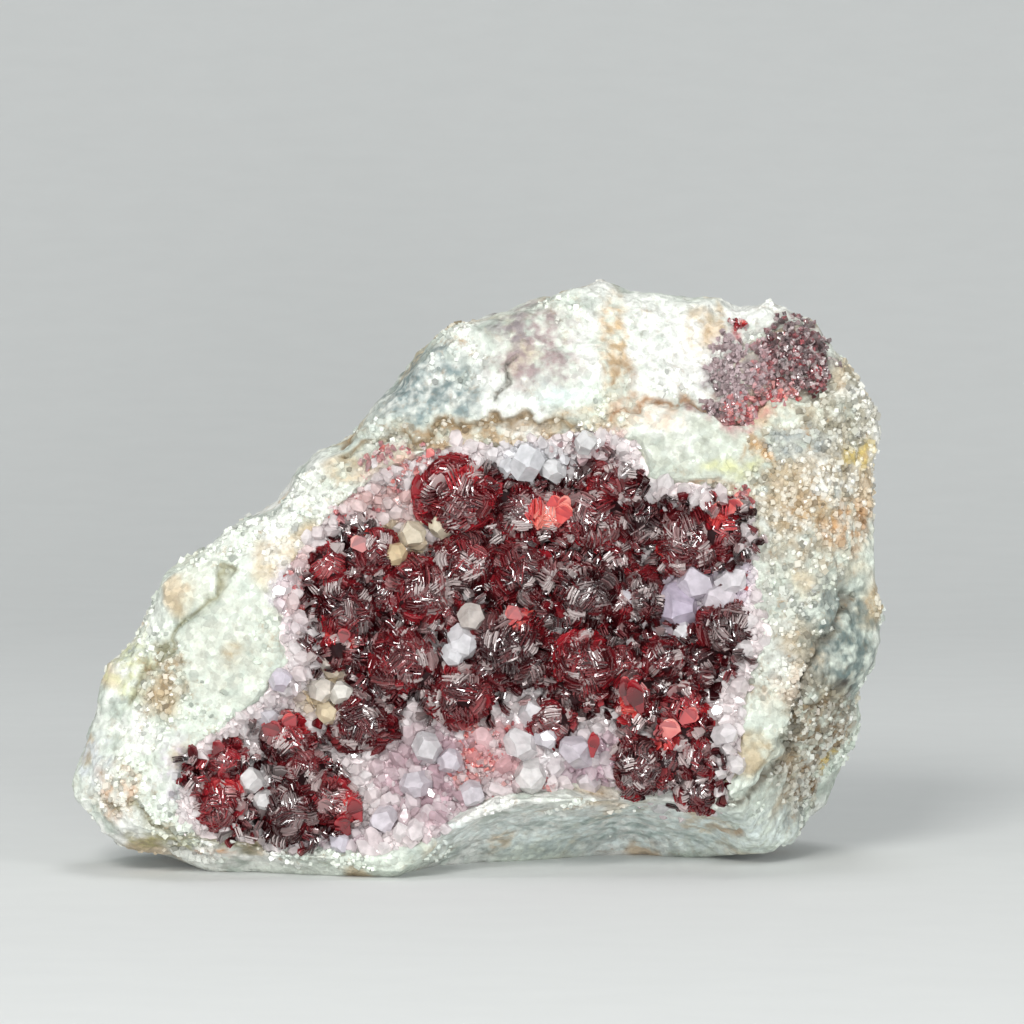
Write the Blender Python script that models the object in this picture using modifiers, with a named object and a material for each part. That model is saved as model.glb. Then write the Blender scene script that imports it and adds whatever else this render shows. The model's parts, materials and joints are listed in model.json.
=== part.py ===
"""A hand-sized mineral specimen: dark red bladed rosettes on pale lilac quartz, in a hollow of its host rock.

The front of the specimen faces -Y, +Z is up, and the origin is under the middle of the rock, on the plane
that it stands on. Lists of places are in millimetres, as (x, z) seen from the front, and MM makes them metres.
"""

import math
import random

import bmesh
import bpy
from mathutils import Matrix, Vector, noise
from mathutils.bvhtree import BVHTree

MM = 0.001
MERGE = 0.0001 * MM
# Rays that look at the specimen start this far in front of it, or behind it.
FAR_IN_FRONT, FAR_BEHIND = -60.0, 30.0

# Overall size of the rock and the way its front face leans back.
ROCK_DEPTH = 30.0
FACE_FOOT_Y = -14.0
FACE_LEAN = 0.16

# The broken outline of the rock, seen from the front, clockwise from its left tip.
ROCK_OUTLINE = [
    (-34.2, 7.4), (-32.6, 10.4), (-32.1, 14.4), (-31.2, 17.3), (-29.8, 17.8), (-28.1, 20.3), (-27.2, 22.2),
    (-25.9, 24.8), (-22.5, 25.8), (-20.5, 28.0), (-16.6, 29.9), (-16.0, 31.5), (-13.6, 34.7), (-11.7, 35.4),
    (-8.5, 38.9), (-6.8, 40.2), (-4.3, 43.1), (-1.6, 44.9), (3.2, 46.0), (6.9, 47.3), (9.2, 48.3),
    (11.1, 48.6), (16.8, 47.6), (20.0, 47.5), (21.5, 46.4), (24.2, 47.1), (27.3, 46.3), (28.5, 45.4),
    (29.6, 43.0), (32.2, 40.5), (33.9, 37.4), (34.1, 35.8), (33.3, 33.6), (33.1, 31.4), (33.6, 26.4),
    (33.2, 24.2), (33.8, 21.2), (32.6, 16.9), (30.9, 14.2), (31.8, 11.5), (31.0, 7.7), (29.8, 3.7),
    (26.2, 1.6), (22.0, 0.1), (18.0, -0.6), (3.0, -0.7), (-6.8, -0.9), (-15.0, -0.9), (-21.0, -0.4),
    (-25.5, 0.9), (-28.9, 1.6), (-30.8, 2.6), (-32.6, 4.2), (-34.0, 6.0),
]

# Flat breaks: a point on each and the direction that it faces. What lies beyond the plane is gone.
BREAKS = [
    ((0.0, FACE_FOOT_Y, 0.0), (0.0, -1.0, FACE_LEAN)),  # the front face
    ((-9.0, -9.6, 31.5), (-0.26, -0.85, 0.46)),  # slope above the hollow, on the left
    ((12.0, -7.8, 40.5), (0.05, -0.80, 0.60)),  # the top edge
    ((-23.0, -11.6, 19.0), (-0.45, -0.87, 0.22)),  # slope down to the left tip
    ((28.2, -9.8, 26.0), (0.62, -0.78, 0.02)),  # the right edge
    ((26.7, -11.7, 14.2), (0.75, -0.50, -0.43)),  # the step at the lower right
    ((-23.0, -13.4, 3.6), (-0.15, -0.50, -0.85)),  # underside of the left end
    ((0.0, 14.2, 15.0), (0.08, 0.99, 0.05)),  # the back
    ((-14.0, 8.0, 26.0), (-0.45, 0.75, 0.48)),  # the back, upper left
    ((12.0, 8.0, 38.0), (0.10, 0.80, 0.60)),  # the back, top
    ((-26.0, 4.0, 10.0), (-0.70, 0.70, 0.00)),  # behind the left tip
    ((28.0, 9.0, 22.0), (0.75, 0.66, 0.10)),  # the back, right
    ((0.0, 13.2, 5.0), (0.10, 0.80, -0.60)),  # the back, at the foot
]

# What the rock stands on.
GROUND = ((0.0, 0.0, 0.0), (0.0, 0.0, -1.0))

# Shell-shaped breaks: the centre and radius of the ball that fits each.
SCOOPS = [
    ((11.0, -17.0, -22.0), 29.0),  # under the lower lip of the hollow
    ((38.0, -3.0, 3.0), 11.5),  # lower right corner
    ((-8.0, 24.0, 31.0), 15.5),  # upper back
    ((19.0, 27.5, 13.0), 17.0),  # lower back
    ((-22.0, 19.0, 5.0), 12.0),  # back of the left end
]

SCOOP_SUBDIVISIONS = 4

# Swells and dips of the front face: where, how far they reach, and how far they stand out.
SWELLS = [
    ((17.4, 35.0), (5.6, 3.3), 1.4),  # smooth boss above the hollow
    ((-20.2, 18.4), (3.8, 3.9), 1.2),  # smooth boss on the left
    ((-24.4, 23.4), (3.4, 3.0), 0.9),  # block at the left edge
    ((-30.0, 7.4), (2.3, 2.2), 1.1),  # nodule at the left tip
    ((27.0, 27.0), (3.6, 8.5), 0.9),  # coarse-grained ridge down the right side
    ((7.5, 39.6), (9.0, 1.4), -0.7),  # crease over the hollow
    ((13.0, 43.0), (6.0, 2.4), 0.6),  # the top, between two creases
    ((-2.5, 38.6), (3.6, 3.2), -0.7),  # grey patch, upper left
    ((26.0, 8.4), (1.6, 5.0), -0.8),  # crease at the lower right
]
SWELL_REACH = 1.5
FACES_FRONT = -0.25
LUMP_SIZE, LUMP_HEIGHT = 8.0, 0.9
CRAG_SIZE, CRAG_HEIGHT = 4.4, 1.1
LEDGE_SIZE, LEDGE_HEIGHT, LEDGE_STEPS = 14.0, 1.8, 3
LEDGE_RAMP = 0.3
LEDGE_PLACE = Vector((7.1, 3.3, 1.9))
# Where the surface faces sideways, its roughness is this share of what it is on the front and the back.
ROUGHNESS_AT_OUTLINE = 0.45
ROCK_VOXEL = 0.75
ROCK_TRIANGLES = 2100
FLAT_ENOUGH = math.radians(1.0)

# The hollow: its rim, seen from the front, and how deep the rock and the quartz in it lie under the face.
HOLLOW_RIM = [
    (-25.2, 5.2), (-24.0, 10.4), (-18.3, 14.6), (-15.6, 18.0), (-16.9, 23.6), (-14.6, 28.2), (-8.7, 34.0),
    (-3.0, 35.8), (5.4, 36.1), (10.0, 36.9), (13.0, 35.8), (13.8, 32.4), (18.3, 32.3), (22.4, 31.0),
    (22.9, 24.4), (24.0, 20.4), (21.9, 13.9), (21.7, 8.4), (20.0, 5.2), (15.6, 4.3), (7.6, 6.4),
    (1.8, 6.4), (-4.0, 3.4), (-9.5, 1.8), (-16.6, 2.1), (-22.6, 3.6),
]
HOLLOW_CENTRE = (0.5, 18.5)
ROCK_HOLLOW_DEPTH = 6.5
QUARTZ_HOLLOW_DEPTH, QUARTZ_RIM_INSET = 3.2, 1.3
# The hollow's section: shares of its rim's size, with the share of its depth reached there.
HOLLOW_SECTION = [(1.0, 0.0), (0.93, 0.52), (0.78, 0.85), (0.42, 1.0)]
HOLLOW_FLARE, HOLLOW_REACH = 1.35, 7.0
GAP = 0.3
ROOM_INSET = 1.3 * GAP

# Rosettes of wendwilsonite blades: x, z and radius of each, by the group that has grown together.
ROSETTES = {
    "wendwilsonite_main_cluster": [
        (-1.8, 31.1, 3.5), (3.3, 30.1, 2.7), (6.3, 29.9, 2.2), (9.6, 29.5, 3.0), (-1.2, 25.8, 2.9),
        (-5.1, 23.6, 3.0), (-11.4, 21.8, 2.9), (-12.8, 25.7, 2.1), (-8.8, 26.5, 2.4), (-6.6, 17.7, 3.1),
        (-9.7, 12.8, 2.9), (-1.8, 14.7, 2.8), (2.5, 18.8, 3.4), (3.7, 24.7, 3.0), (8.8, 23.1, 3.2),
        (8.8, 17.3, 3.1), (6.0, 12.7, 2.2), (11.4, 25.9, 1.8), (17.4, 27.8, 3.2), (20.4, 28.6, 2.1),
        (13.8, 22.9, 2.3), (15.4, 17.6, 2.3), (13.0, 15.2, 2.3), (16.9, 13.8, 2.2), (-12.0, 18.6, 1.9),
        (10.8, 32.4, 2.1), (20.4, 20.4, 2.6), (13.2, 8.9, 2.6), (17.9, 9.6, 2.2), (18.2, 7.0, 2.0),
        # smaller ones that fill the corners between them
        (13.6, 29.4, 2.5), (18.5, 17.5, 2.1), (17.2, 11.7, 1.6), (-10.7, 26.4, 1.6), (-8.4, 15.2, 1.7),
        (-4.4, 16.4, 1.8), (0.2, 16.9, 1.8), (7.4, 14.8, 1.7), (3.0, 21.8, 1.7), (-8.3, 22.9, 1.7),
        (11.6, 17.6, 1.9), (11.3, 22.6, 2.0), (15.6, 9.4, 1.7), (-2.6, 21.6, 1.7), (15.0, 15.4, 1.8),
        (6.2, 24.4, 1.9), (10.6, 27.6, 1.7), (5.8, 18.4, 1.8),
    ],
    "wendwilsonite_lower_left_cluster": [
        (-15.9, 11.2, 2.4), (-14.6, 8.8, 2.2), (-21.4, 9.6, 2.1), (-21.7, 6.2, 2.6), (-15.9, 5.3, 3.0),
        (-12.2, 6.2, 2.4), (-18.9, 6.2, 1.6),
    ],
    "wendwilsonite_upper_right_patch": [
        (25.8, 43.2, 2.6), (22.0, 41.3, 2.4), (21.2, 39.0, 1.5), (27.2, 41.4, 1.8), (23.6, 43.3, 1.6),
    ],
}
# Each rosette's middle lies this share of its radius in front of what it grows on, and it is rooted this
# deep, or this share of the quartz's thickness where the quartz is thin.
LIFT = {
    "wendwilsonite_main_cluster": 0.25,
    "wendwilsonite_lower_left_cluster": 0.20,
    "wendwilsonite_upper_right_patch": -0.30,
}
ROOT_DEPTH, ROOT_SHARE = 0.7, 0.40
BLADES, SMALL_BLADES, SMALL_RADIUS = 6, 5, 2.5
ROSETTE_RINGS = 3
VALLEY_BETWEEN_BLADES = 0.82
SHORTEST_BLADE = 0.90
MOST_LEAN = 0.6
SOCKET_SIDES = 7
ROSETTE_SEED = 11

# Quartz crystals: six-sided, with a six-sided point.
CRYSTALS = 40
CRYSTAL_RADIUS = (1.1, 1.9)
CRYSTAL_SPACING = 2.2
CRYSTAL_ROOT = 1.6
CRYSTAL_RISE = (0.3, 0.9)
CRYSTAL_TIP_SLOPE = 1.0
CRYSTAL_LEAST_LEAN, CRYSTAL_MOST_LEAN = math.radians(3.4), math.radians(34)
CRYSTAL_FOOT = 0.9
# The quartz crystals are looked for between these limits of x and z, clear of this share of each rosette.
CRYSTAL_AREA = ((-26, 25), (1, 37))
CLEAR_OF_ROSETTE = 0.85
CRYSTAL_SEED = 5
SIX_SIDES = 6


def clear_scene():
    for obj in list(bpy.data.objects):
        bpy.data.objects.remove(obj, do_unlink=True)


def new_collection(name):
    made = bpy.data.collections.new(name)
    bpy.context.scene.collection.children.link(made)
    return made


def finish_of(name, colour, roughness, transmission=0.0, ior=1.5):
    """One Principled material, in the colour that the mineral has in daylight."""
    material = bpy.data.materials.new(name)
    material.use_nodes = True
    shader = material.node_tree.nodes["Principled BSDF"]
    shader.inputs["Base Color"].default_value = (*colour, 1.0)
    shader.inputs["Roughness"].default_value = roughness
    shader.inputs["Metallic"].default_value = 0.0
    shader.inputs["Transmission Weight"].default_value = transmission
    shader.inputs["IOR"].default_value = ior
    material.diffuse_color = (*colour, 1.0)
    return material


def add_object(name, mesh, collection):
    obj = bpy.data.objects.new(name, mesh)
    collection.objects.link(obj)
    return obj


def mesh_of(name, bm):
    mesh = bpy.data.meshes.new(name)
    bm.to_mesh(mesh)
    bm.free()
    return mesh


def remove(obj):
    bpy.data.objects.remove(obj, do_unlink=True)


def split_into_triangles(obj):
    bm = bmesh.new()
    bm.from_mesh(obj.data)
    bmesh.ops.triangulate(bm, faces=bm.faces)
    bm.to_mesh(obj.data)
    bm.free()


def keep_largest(obj):
    """Drops crumbs that a cut has left loose beside the main body, and straightens its flat faces."""
    bm = bmesh.new()
    bm.from_mesh(obj.data)
    bmesh.ops.remove_doubles(bm, verts=bm.verts, dist=MERGE)
    left, bodies = set(bm.verts), []
    while left:
        body, edge_of_body = set(), [left.pop()]
        while edge_of_body:
            vertex = edge_of_body.pop()
            body.add(vertex)
            near = {edge.other_vert(vertex) for edge in vertex.link_edges} & left
            left -= near
            edge_of_body += near
        bodies.append(body)
    bodies.sort(key=len)
    bmesh.ops.delete(bm, geom=[vertex for body in bodies[:-1] for vertex in body], context="VERTS")
    bmesh.ops.dissolve_limit(bm, angle_limit=FLAT_ENOUGH, verts=bm.verts, edges=bm.edges)
    bmesh.ops.triangulate(bm, faces=bm.faces)
    bm.to_mesh(obj.data)
    bm.free()


def bake(obj):
    """Puts what the modifiers make into the object's own mesh."""
    graph = bpy.context.evaluated_depsgraph_get()
    made = bpy.data.meshes.new_from_object(obj.evaluated_get(graph))
    obj.modifiers.clear()
    obj.data = made


def combine(obj, other, operation):
    """Joins other to obj, cuts it out of obj, or keeps what they share. Other may be bodies that overlap."""
    modifier = obj.modifiers.new(operation.title(), "BOOLEAN")
    modifier.operation = operation
    modifier.object = other
    modifier.solver = "EXACT"
    modifier.use_self = True
    bake(obj)
    split_into_triangles(obj)
    remove(other)


def copy_of(obj, name, collection):
    return add_object(name, obj.data.copy(), collection)


def face_y(z):
    """How far back the rock's front face lies at a height, in millimetres."""
    return FACE_FOOT_Y + FACE_LEAN * z


def slab(name, outline, depth, collection):
    """A flat outline in the XZ plane, as thick as the rock."""
    curve = bpy.data.curves.new(name, "CURVE")
    curve.dimensions = "2D"
    curve.fill_mode = "BOTH"
    curve.extrude = depth / 2 * MM
    spline = curve.splines.new("POLY")
    spline.points.add(len(outline) - 1)
    for point, (x, z) in zip(spline.points, outline):
        point.co = (x * MM, z * MM, 0.0, 1.0)
    spline.use_cyclic_u = True
    guide = add_object(name + "_outline", curve, collection)
    guide.rotation_euler.x = math.radians(90)
    bpy.context.view_layer.update()
    graph = bpy.context.evaluated_depsgraph_get()
    mesh = bpy.data.meshes.new_from_object(guide.evaluated_get(graph))
    mesh.transform(guide.matrix_world)
    remove(guide)
    bm = bmesh.new()
    bm.from_mesh(mesh)
    bmesh.ops.remove_doubles(bm, verts=bm.verts, dist=MERGE)
    bmesh.ops.recalc_face_normals(bm, faces=bm.faces)
    bm.to_mesh(mesh)
    bm.free()
    return add_object(name, mesh, collection)


def break_off(obj, breaks):
    """Takes away what lies beyond each flat break, and closes the rock there."""
    bm = bmesh.new()
    bm.from_mesh(obj.data)
    for point, facing in breaks:
        cut = bmesh.ops.bisect_plane(
            bm,
            geom=bm.verts[:] + bm.edges[:] + bm.faces[:],
            plane_co=Vector(point) * MM,
            plane_no=Vector(facing).normalized(),
            clear_outer=True,
        )
        edges = [e for e in cut["geom_cut"] if isinstance(e, bmesh.types.BMEdge)]
        bmesh.ops.holes_fill(bm, edges=edges, sides=0)
    bmesh.ops.recalc_face_normals(bm, faces=bm.faces)
    bm.to_mesh(obj.data)
    bm.free()


def ball(name, centre, radius, collection):
    bm = bmesh.new()
    bmesh.ops.create_icosphere(bm, subdivisions=SCOOP_SUBDIVISIONS, radius=radius * MM)
    bmesh.ops.translate(bm, verts=bm.verts, vec=Vector(centre) * MM)
    return add_object(name, mesh_of(name, bm), collection)


def even_out(obj, voxel):
    modifier = obj.modifiers.new("Even mesh", "REMESH")
    modifier.mode = "VOXEL"
    modifier.voxel_size = voxel * MM
    bake(obj)


def swell_at(x, z):
    """How far the front face stands out at a place, in millimetres."""
    total = 0.0
    for (cx, cz), (rx, rz), height in SWELLS:
        distance = math.hypot((x - cx) / rx, (z - cz) / rz)
        if distance < SWELL_REACH:
            total += height * 0.5 * (1 + math.cos(math.pi * distance / SWELL_REACH))
    return total


def crag_at(p):
    """Height of the broken surface over the smooth one, in millimetres, from lumps, ledges and crags."""
    lumps = LUMP_HEIGHT * noise.noise(p / LUMP_SIZE)
    level = LEDGE_STEPS * noise.noise(p / LEDGE_SIZE + LEDGE_PLACE)
    step = math.floor(level)
    ramp = min(1.0, (level - step) / LEDGE_RAMP)
    ledges = LEDGE_HEIGHT * (step + ramp) / LEDGE_STEPS
    crags = CRAG_HEIGHT * (0.5 - noise.voronoi(p / CRAG_SIZE, exponent=1.0)[0][0])
    return lumps + ledges + crags


def roughen(obj):
    """Moves each point of the rock out or in along its normal, and the front by its swells."""
    for vertex in obj.data.vertices:
        p = vertex.co / MM
        facing = vertex.normal.copy()
        share = ROUGHNESS_AT_OUTLINE + (1 - ROUGHNESS_AT_OUTLINE) * abs(facing.y)
        out = crag_at(p) * share
        if facing.y < FACES_FRONT:
            out += swell_at(p.x, p.z)
        vertex.co += facing * out * MM
    obj.data.update()


def thin_out(obj, triangles):
    obj.data.calc_loop_triangles()
    modifier = obj.modifiers.new("Fewer faces", "DECIMATE")
    modifier.ratio = triangles / len(obj.data.loop_triangles)
    bake(obj)


def make_rock(parts, cutters):
    """The whole rock, before the hollow is taken out of it."""
    rock = slab("matrix", ROCK_OUTLINE, ROCK_DEPTH, parts)
    break_off(rock, BREAKS)
    for number, (centre, radius) in enumerate(SCOOPS):
        combine(rock, ball(f"scoop_{number}", centre, radius, cutters), "DIFFERENCE")
    even_out(rock, ROCK_VOXEL)
    roughen(rock)
    # The steep ledges fold over a little, and a second even mesh closes the folds.
    even_out(rock, ROCK_VOXEL)
    thin_out(rock, ROCK_TRIANGLES)
    break_off(rock, [GROUND])
    return rock


def bowl(name, inset, depth, collection):
    """The space of the hollow: its rim drawn in by inset, its floor that deep, and its mouth open to the front."""
    cx, cz = HOLLOW_CENTRE
    rim = []
    for x, z in HOLLOW_RIM:
        away = Vector((x - cx, z - cz))
        rim.append(away * (1 - inset / away.length))
    rings = [(HOLLOW_FLARE, -HOLLOW_REACH)] + [(share, depth * down) for share, down in HOLLOW_SECTION]
    bm = bmesh.new()
    loops = []
    for share, behind in rings:
        loop = []
        for away in rim:
            x, z = cx + share * away.x, cz + share * away.y
            loop.append(bm.verts.new(Vector((x, face_y(z) + behind, z)) * MM))
        loops.append(loop)
    for outer, inner in zip(loops, loops[1:]):
        for i in range(len(outer)):
            j = (i + 1) % len(outer)
            bm.faces.new((outer[i], outer[j], inner[j], inner[i]))
    mouth = bm.faces.new(loops[0])
    floor = bm.faces.new(loops[-1])
    bmesh.ops.poke(bm, faces=[mouth, floor])
    bmesh.ops.recalc_face_normals(bm, faces=bm.faces)
    return add_object(name, mesh_of(name, bm), collection)


class Front:
    """The surface that crystals grow on, and the quartz's back, found by looking from the front."""

    def __init__(self, rock, hollow, room):
        graph = bpy.context.evaluated_depsgraph_get()
        self.rock = BVHTree.FromObject(rock, graph)
        self.hollow = BVHTree.FromObject(hollow, graph)
        self.room = BVHTree.FromObject(room, graph)

    def y(self, x, z):
        """How far back the surface is at a place, in millimetres."""
        ahead = Vector((0, 1, 0))
        on_rock = self.rock.ray_cast(Vector((x, FAR_IN_FRONT, z)) * MM, ahead)[0]
        rock_y = on_rock.y / MM if on_rock else face_y(z)
        in_hollow = self.hollow.ray_cast(Vector((x, FAR_BEHIND, z)) * MM, -ahead)[0]
        return max(rock_y, in_hollow.y / MM) if in_hollow else rock_y

    def root(self, x, z):
        """How deep a rosette is rooted at a place: less where the quartz is thin."""
        back = self.room.ray_cast(Vector((x, FAR_BEHIND, z)) * MM, Vector((0, -1, 0)))[0]
        if not back:
            return ROOT_DEPTH
        return min(ROOT_DEPTH, max(0.0, ROOT_SHARE * (back.y / MM - self.y(x, z))))


def add_rosette(bm, x, y, z, radius, back_y, rng):
    """A drum of blades that meet along one axis: a sphere with each second meridian drawn in, flat behind."""
    blades = BLADES if radius > SMALL_RADIUS else SMALL_BLADES
    segments = 2 * blades
    verts = bmesh.ops.create_uvsphere(
        bm, u_segments=segments, v_segments=ROSETTE_RINGS, radius=radius * MM
    )["verts"]
    reach = [rng.uniform(SHORTEST_BLADE, 1.0) for _ in range(blades)]
    for vertex in verts:
        if math.hypot(vertex.co.x, vertex.co.y) < 0.01 * MM:
            vertex.co.z *= VALLEY_BETWEEN_BLADES
            continue
        meridian = round(math.atan2(vertex.co.y, vertex.co.x) / math.tau * segments) % segments
        vertex.co *= VALLEY_BETWEEN_BLADES if meridian % 2 else reach[meridian // 2]
        vertex.co.xy /= math.cos(math.pi / 2 / ROSETTE_RINGS)
    to_front = Matrix.Rotation(math.radians(90), 3, "X")
    nod = Matrix.Rotation(rng.uniform(-MOST_LEAN, MOST_LEAN), 3, "X")
    turn = Matrix.Rotation(rng.uniform(-MOST_LEAN, MOST_LEAN), 3, "Z")
    spin = Matrix.Rotation(rng.uniform(0, math.tau), 3, "Z")
    bmesh.ops.rotate(bm, verts=verts, matrix=turn @ nod @ to_front @ spin)
    bmesh.ops.translate(bm, verts=verts, vec=Vector((x, y, z)) * MM)
    faces = {face for vertex in verts for face in vertex.link_faces}
    edges = {edge for vertex in verts for edge in vertex.link_edges}
    cut = bmesh.ops.bisect_plane(
        bm,
        geom=verts + list(edges) + list(faces),
        plane_co=Vector((0, back_y, 0)) * MM,
        plane_no=Vector((0, 1, 0)),
        clear_outer=True,
    )
    rim = [edge for edge in cut["geom_cut"] if isinstance(edge, bmesh.types.BMEdge)]
    bmesh.ops.holes_fill(bm, edges=rim, sides=0)


def add_socket(bm, x, z, radius, back_y):
    """A straight-sided room for one rosette, open to the front."""
    across = (radius + GAP) / math.cos(math.pi / SOCKET_SIDES)
    length = back_y + GAP - (FACE_FOOT_Y - HOLLOW_REACH)
    verts = bmesh.ops.create_cone(
        bm, cap_ends=True, segments=SOCKET_SIDES, radius1=across * MM, radius2=across * MM, depth=length * MM
    )["verts"]
    bmesh.ops.rotate(bm, verts=verts, matrix=Matrix.Rotation(math.radians(90), 3, "X"))
    bmesh.ops.translate(bm, verts=verts, vec=Vector((x, back_y + GAP - length / 2, z)) * MM)


def make_clusters(front, parts, cutters):
    """The groups of rosettes, each joined in one body, and the room that all of them take up."""
    rng = random.Random(ROSETTE_SEED)
    clusters = []
    sockets = bmesh.new()
    for name, members in ROSETTES.items():
        first, others = bmesh.new(), bmesh.new()
        for number, (x, z, radius) in enumerate(members):
            surface = front.y(x, z)
            back_y = surface + front.root(x, z)
            grown = others if number else first
            add_rosette(grown, x, surface - LIFT[name] * radius, z, radius, back_y, rng)
            add_socket(sockets, x, z, radius, back_y)
        cluster = add_object(name, mesh_of(name, first), parts)
        combine(cluster, add_object(name + "_rest", mesh_of(name + "_rest", others), cutters), "UNION")
        keep_largest(cluster)
        clusters.append(cluster)
    return clusters, mesh_of("sockets", sockets)


def add_crystal(bm, x, y, z, radius, rise, rng):
    """A six-sided prism rooted under the surface, ending in a six-sided point."""
    depth = CRYSTAL_ROOT + rise
    verts = bmesh.ops.create_cone(
        bm, cap_ends=True, segments=SIX_SIDES, radius1=radius * CRYSTAL_FOOT * MM, radius2=radius * MM,
        depth=depth * MM
    )["verts"]
    faces = {face for vertex in verts for face in vertex.link_faces}
    top = max(faces, key=lambda face: face.calc_center_median().z)
    verts += bmesh.ops.poke(bm, faces=[top], offset=radius * CRYSTAL_TIP_SLOPE * MM)["verts"]
    bmesh.ops.translate(bm, verts=verts, vec=Vector((0, 0, depth / 2 - CRYSTAL_ROOT)) * MM)
    spin = Matrix.Rotation(rng.uniform(0, math.tau), 3, "Z")
    to_front = Matrix.Rotation(math.radians(90), 3, "X")
    lean = Matrix.Rotation(rng.uniform(CRYSTAL_LEAST_LEAN, CRYSTAL_MOST_LEAN), 3, "X")
    around = Matrix.Rotation(rng.uniform(0, math.tau), 3, "Y")
    bmesh.ops.rotate(bm, verts=verts, matrix=around @ lean @ to_front @ spin)
    bmesh.ops.translate(bm, verts=verts, vec=Vector((x, y, z)) * MM)


def in_hollow(x, z):
    """Whether a place is inside the hollow's rim, by counting the edges to its right."""
    inside = False
    for (ax, az), (bx, bz) in zip(HOLLOW_RIM, HOLLOW_RIM[1:] + HOLLOW_RIM[:1]):
        if (az > z) != (bz > z) and x < ax + (z - az) * (bx - ax) / (bz - az):
            inside = not inside
    return inside


def crystal_places(rng):
    """Places for the quartz crystals, apart from each other and clear of the rosettes."""
    taken = [member for members in ROSETTES.values() for member in members]
    chosen = []
    while len(chosen) < CRYSTALS:
        x, z = (rng.uniform(*limits) for limits in CRYSTAL_AREA)
        radius = rng.uniform(*CRYSTAL_RADIUS)
        if not in_hollow(x, z):
            continue
        if any(math.hypot(x - a, z - b) < r * CLEAR_OF_ROSETTE for a, b, r in taken):
            continue
        if any(math.hypot(x - a, z - b) < CRYSTAL_SPACING for a, b, _ in chosen):
            continue
        chosen.append((x, z, radius))
    return chosen


def make_quartz(rock, front, hollow, room, parts, cutters):
    """The quartz that lines the hollow: a bed between the rock and the hollow's floor, with crystals on it."""
    quartz = copy_of(rock, "quartz_crust", parts)
    combine(quartz, hollow, "DIFFERENCE")
    rng = random.Random(CRYSTAL_SEED)
    crystals = bmesh.new()
    for x, z, radius in crystal_places(rng):
        add_crystal(crystals, x, front.y(x, z), z, radius, rng.uniform(*CRYSTAL_RISE), rng)
    combine(quartz, add_object("crystals", mesh_of("crystals", crystals), cutters), "UNION")
    combine(quartz, room, "INTERSECT")
    return quartz


def main():
    clear_scene()
    parts = new_collection("wendwilsonite_in_matrix")
    cutters = new_collection("cutters")
    cutters.hide_render = True

    rock = make_rock(parts, cutters)
    hollow = bowl("quartz_hollow", QUARTZ_RIM_INSET, QUARTZ_HOLLOW_DEPTH, cutters)
    room = bowl("quartz_room", ROOM_INSET, ROCK_HOLLOW_DEPTH - GAP, cutters)
    bpy.context.view_layer.update()
    front = Front(rock, hollow, room)

    clusters, sockets = make_clusters(front, parts, cutters)
    quartz = make_quartz(rock, front, hollow, room, parts, cutters)
    combine(rock, bowl("rock_pit", 0.0, ROCK_HOLLOW_DEPTH, cutters), "DIFFERENCE")
    for host in (rock, quartz):
        combine(host, add_object("sockets", sockets, cutters), "DIFFERENCE")
        keep_largest(host)

    rock.data.materials.append(finish_of("pale_carbonate_rock", (0.62, 0.63, 0.56), 0.75))
    quartz.data.materials.append(finish_of("lilac_quartz", (0.72, 0.66, 0.74), 0.18, 0.5, 1.544))
    red = finish_of("wendwilsonite", (0.26, 0.012, 0.02), 0.15, 0.2, 1.70)
    for cluster in clusters:
        cluster.data.materials.append(red)


main()
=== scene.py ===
"""The finish of a mineral specimen: dark red bladed rosettes on lilac quartz, in a hollow of a pale rock.

Sizes and places are in millimetres, as the specimen measures, and MM makes them metres.
A place on the front is (x, z), seen from the front; the front faces -Y and leans back a little.
"""

import json
import math
import random

import bmesh
import bpy
import numpy as np
from mathutils import Matrix, Vector, noise
from mathutils.bvhtree import BVHTree

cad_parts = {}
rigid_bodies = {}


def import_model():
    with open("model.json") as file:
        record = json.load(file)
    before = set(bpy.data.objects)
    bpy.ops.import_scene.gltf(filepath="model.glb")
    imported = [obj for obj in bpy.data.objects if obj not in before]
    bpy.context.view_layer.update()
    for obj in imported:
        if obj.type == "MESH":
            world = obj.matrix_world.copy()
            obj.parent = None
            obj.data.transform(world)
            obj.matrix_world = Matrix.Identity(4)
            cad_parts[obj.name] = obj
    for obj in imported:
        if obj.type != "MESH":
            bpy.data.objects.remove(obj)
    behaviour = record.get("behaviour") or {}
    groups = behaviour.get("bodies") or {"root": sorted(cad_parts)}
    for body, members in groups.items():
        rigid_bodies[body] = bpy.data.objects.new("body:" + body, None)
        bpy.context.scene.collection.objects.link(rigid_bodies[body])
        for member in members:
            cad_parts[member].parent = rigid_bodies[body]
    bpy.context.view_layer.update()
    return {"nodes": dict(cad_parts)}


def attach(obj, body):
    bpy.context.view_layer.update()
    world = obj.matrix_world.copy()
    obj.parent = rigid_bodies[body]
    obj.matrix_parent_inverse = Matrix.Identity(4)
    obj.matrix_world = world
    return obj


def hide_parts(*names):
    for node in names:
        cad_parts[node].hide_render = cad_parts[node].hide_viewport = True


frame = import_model()
MM = 0.001

# The studio. The camera looks at the front a little from above, through a long lens. A soft light hangs
# in front and above, smaller ones stand at the right, at the left and low in front, and a wide one hangs
# overhead. Floor and backdrop are one pale sheet of paper.

CAMERA_AIM = Vector((2.66, 0.0, 29.5)) * MM
CAMERA_DISTANCE = 500 * MM
CAMERA_RISE = math.radians(4)
CAMERA_LENS, CAMERA_SENSOR = 208, 36

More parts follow.
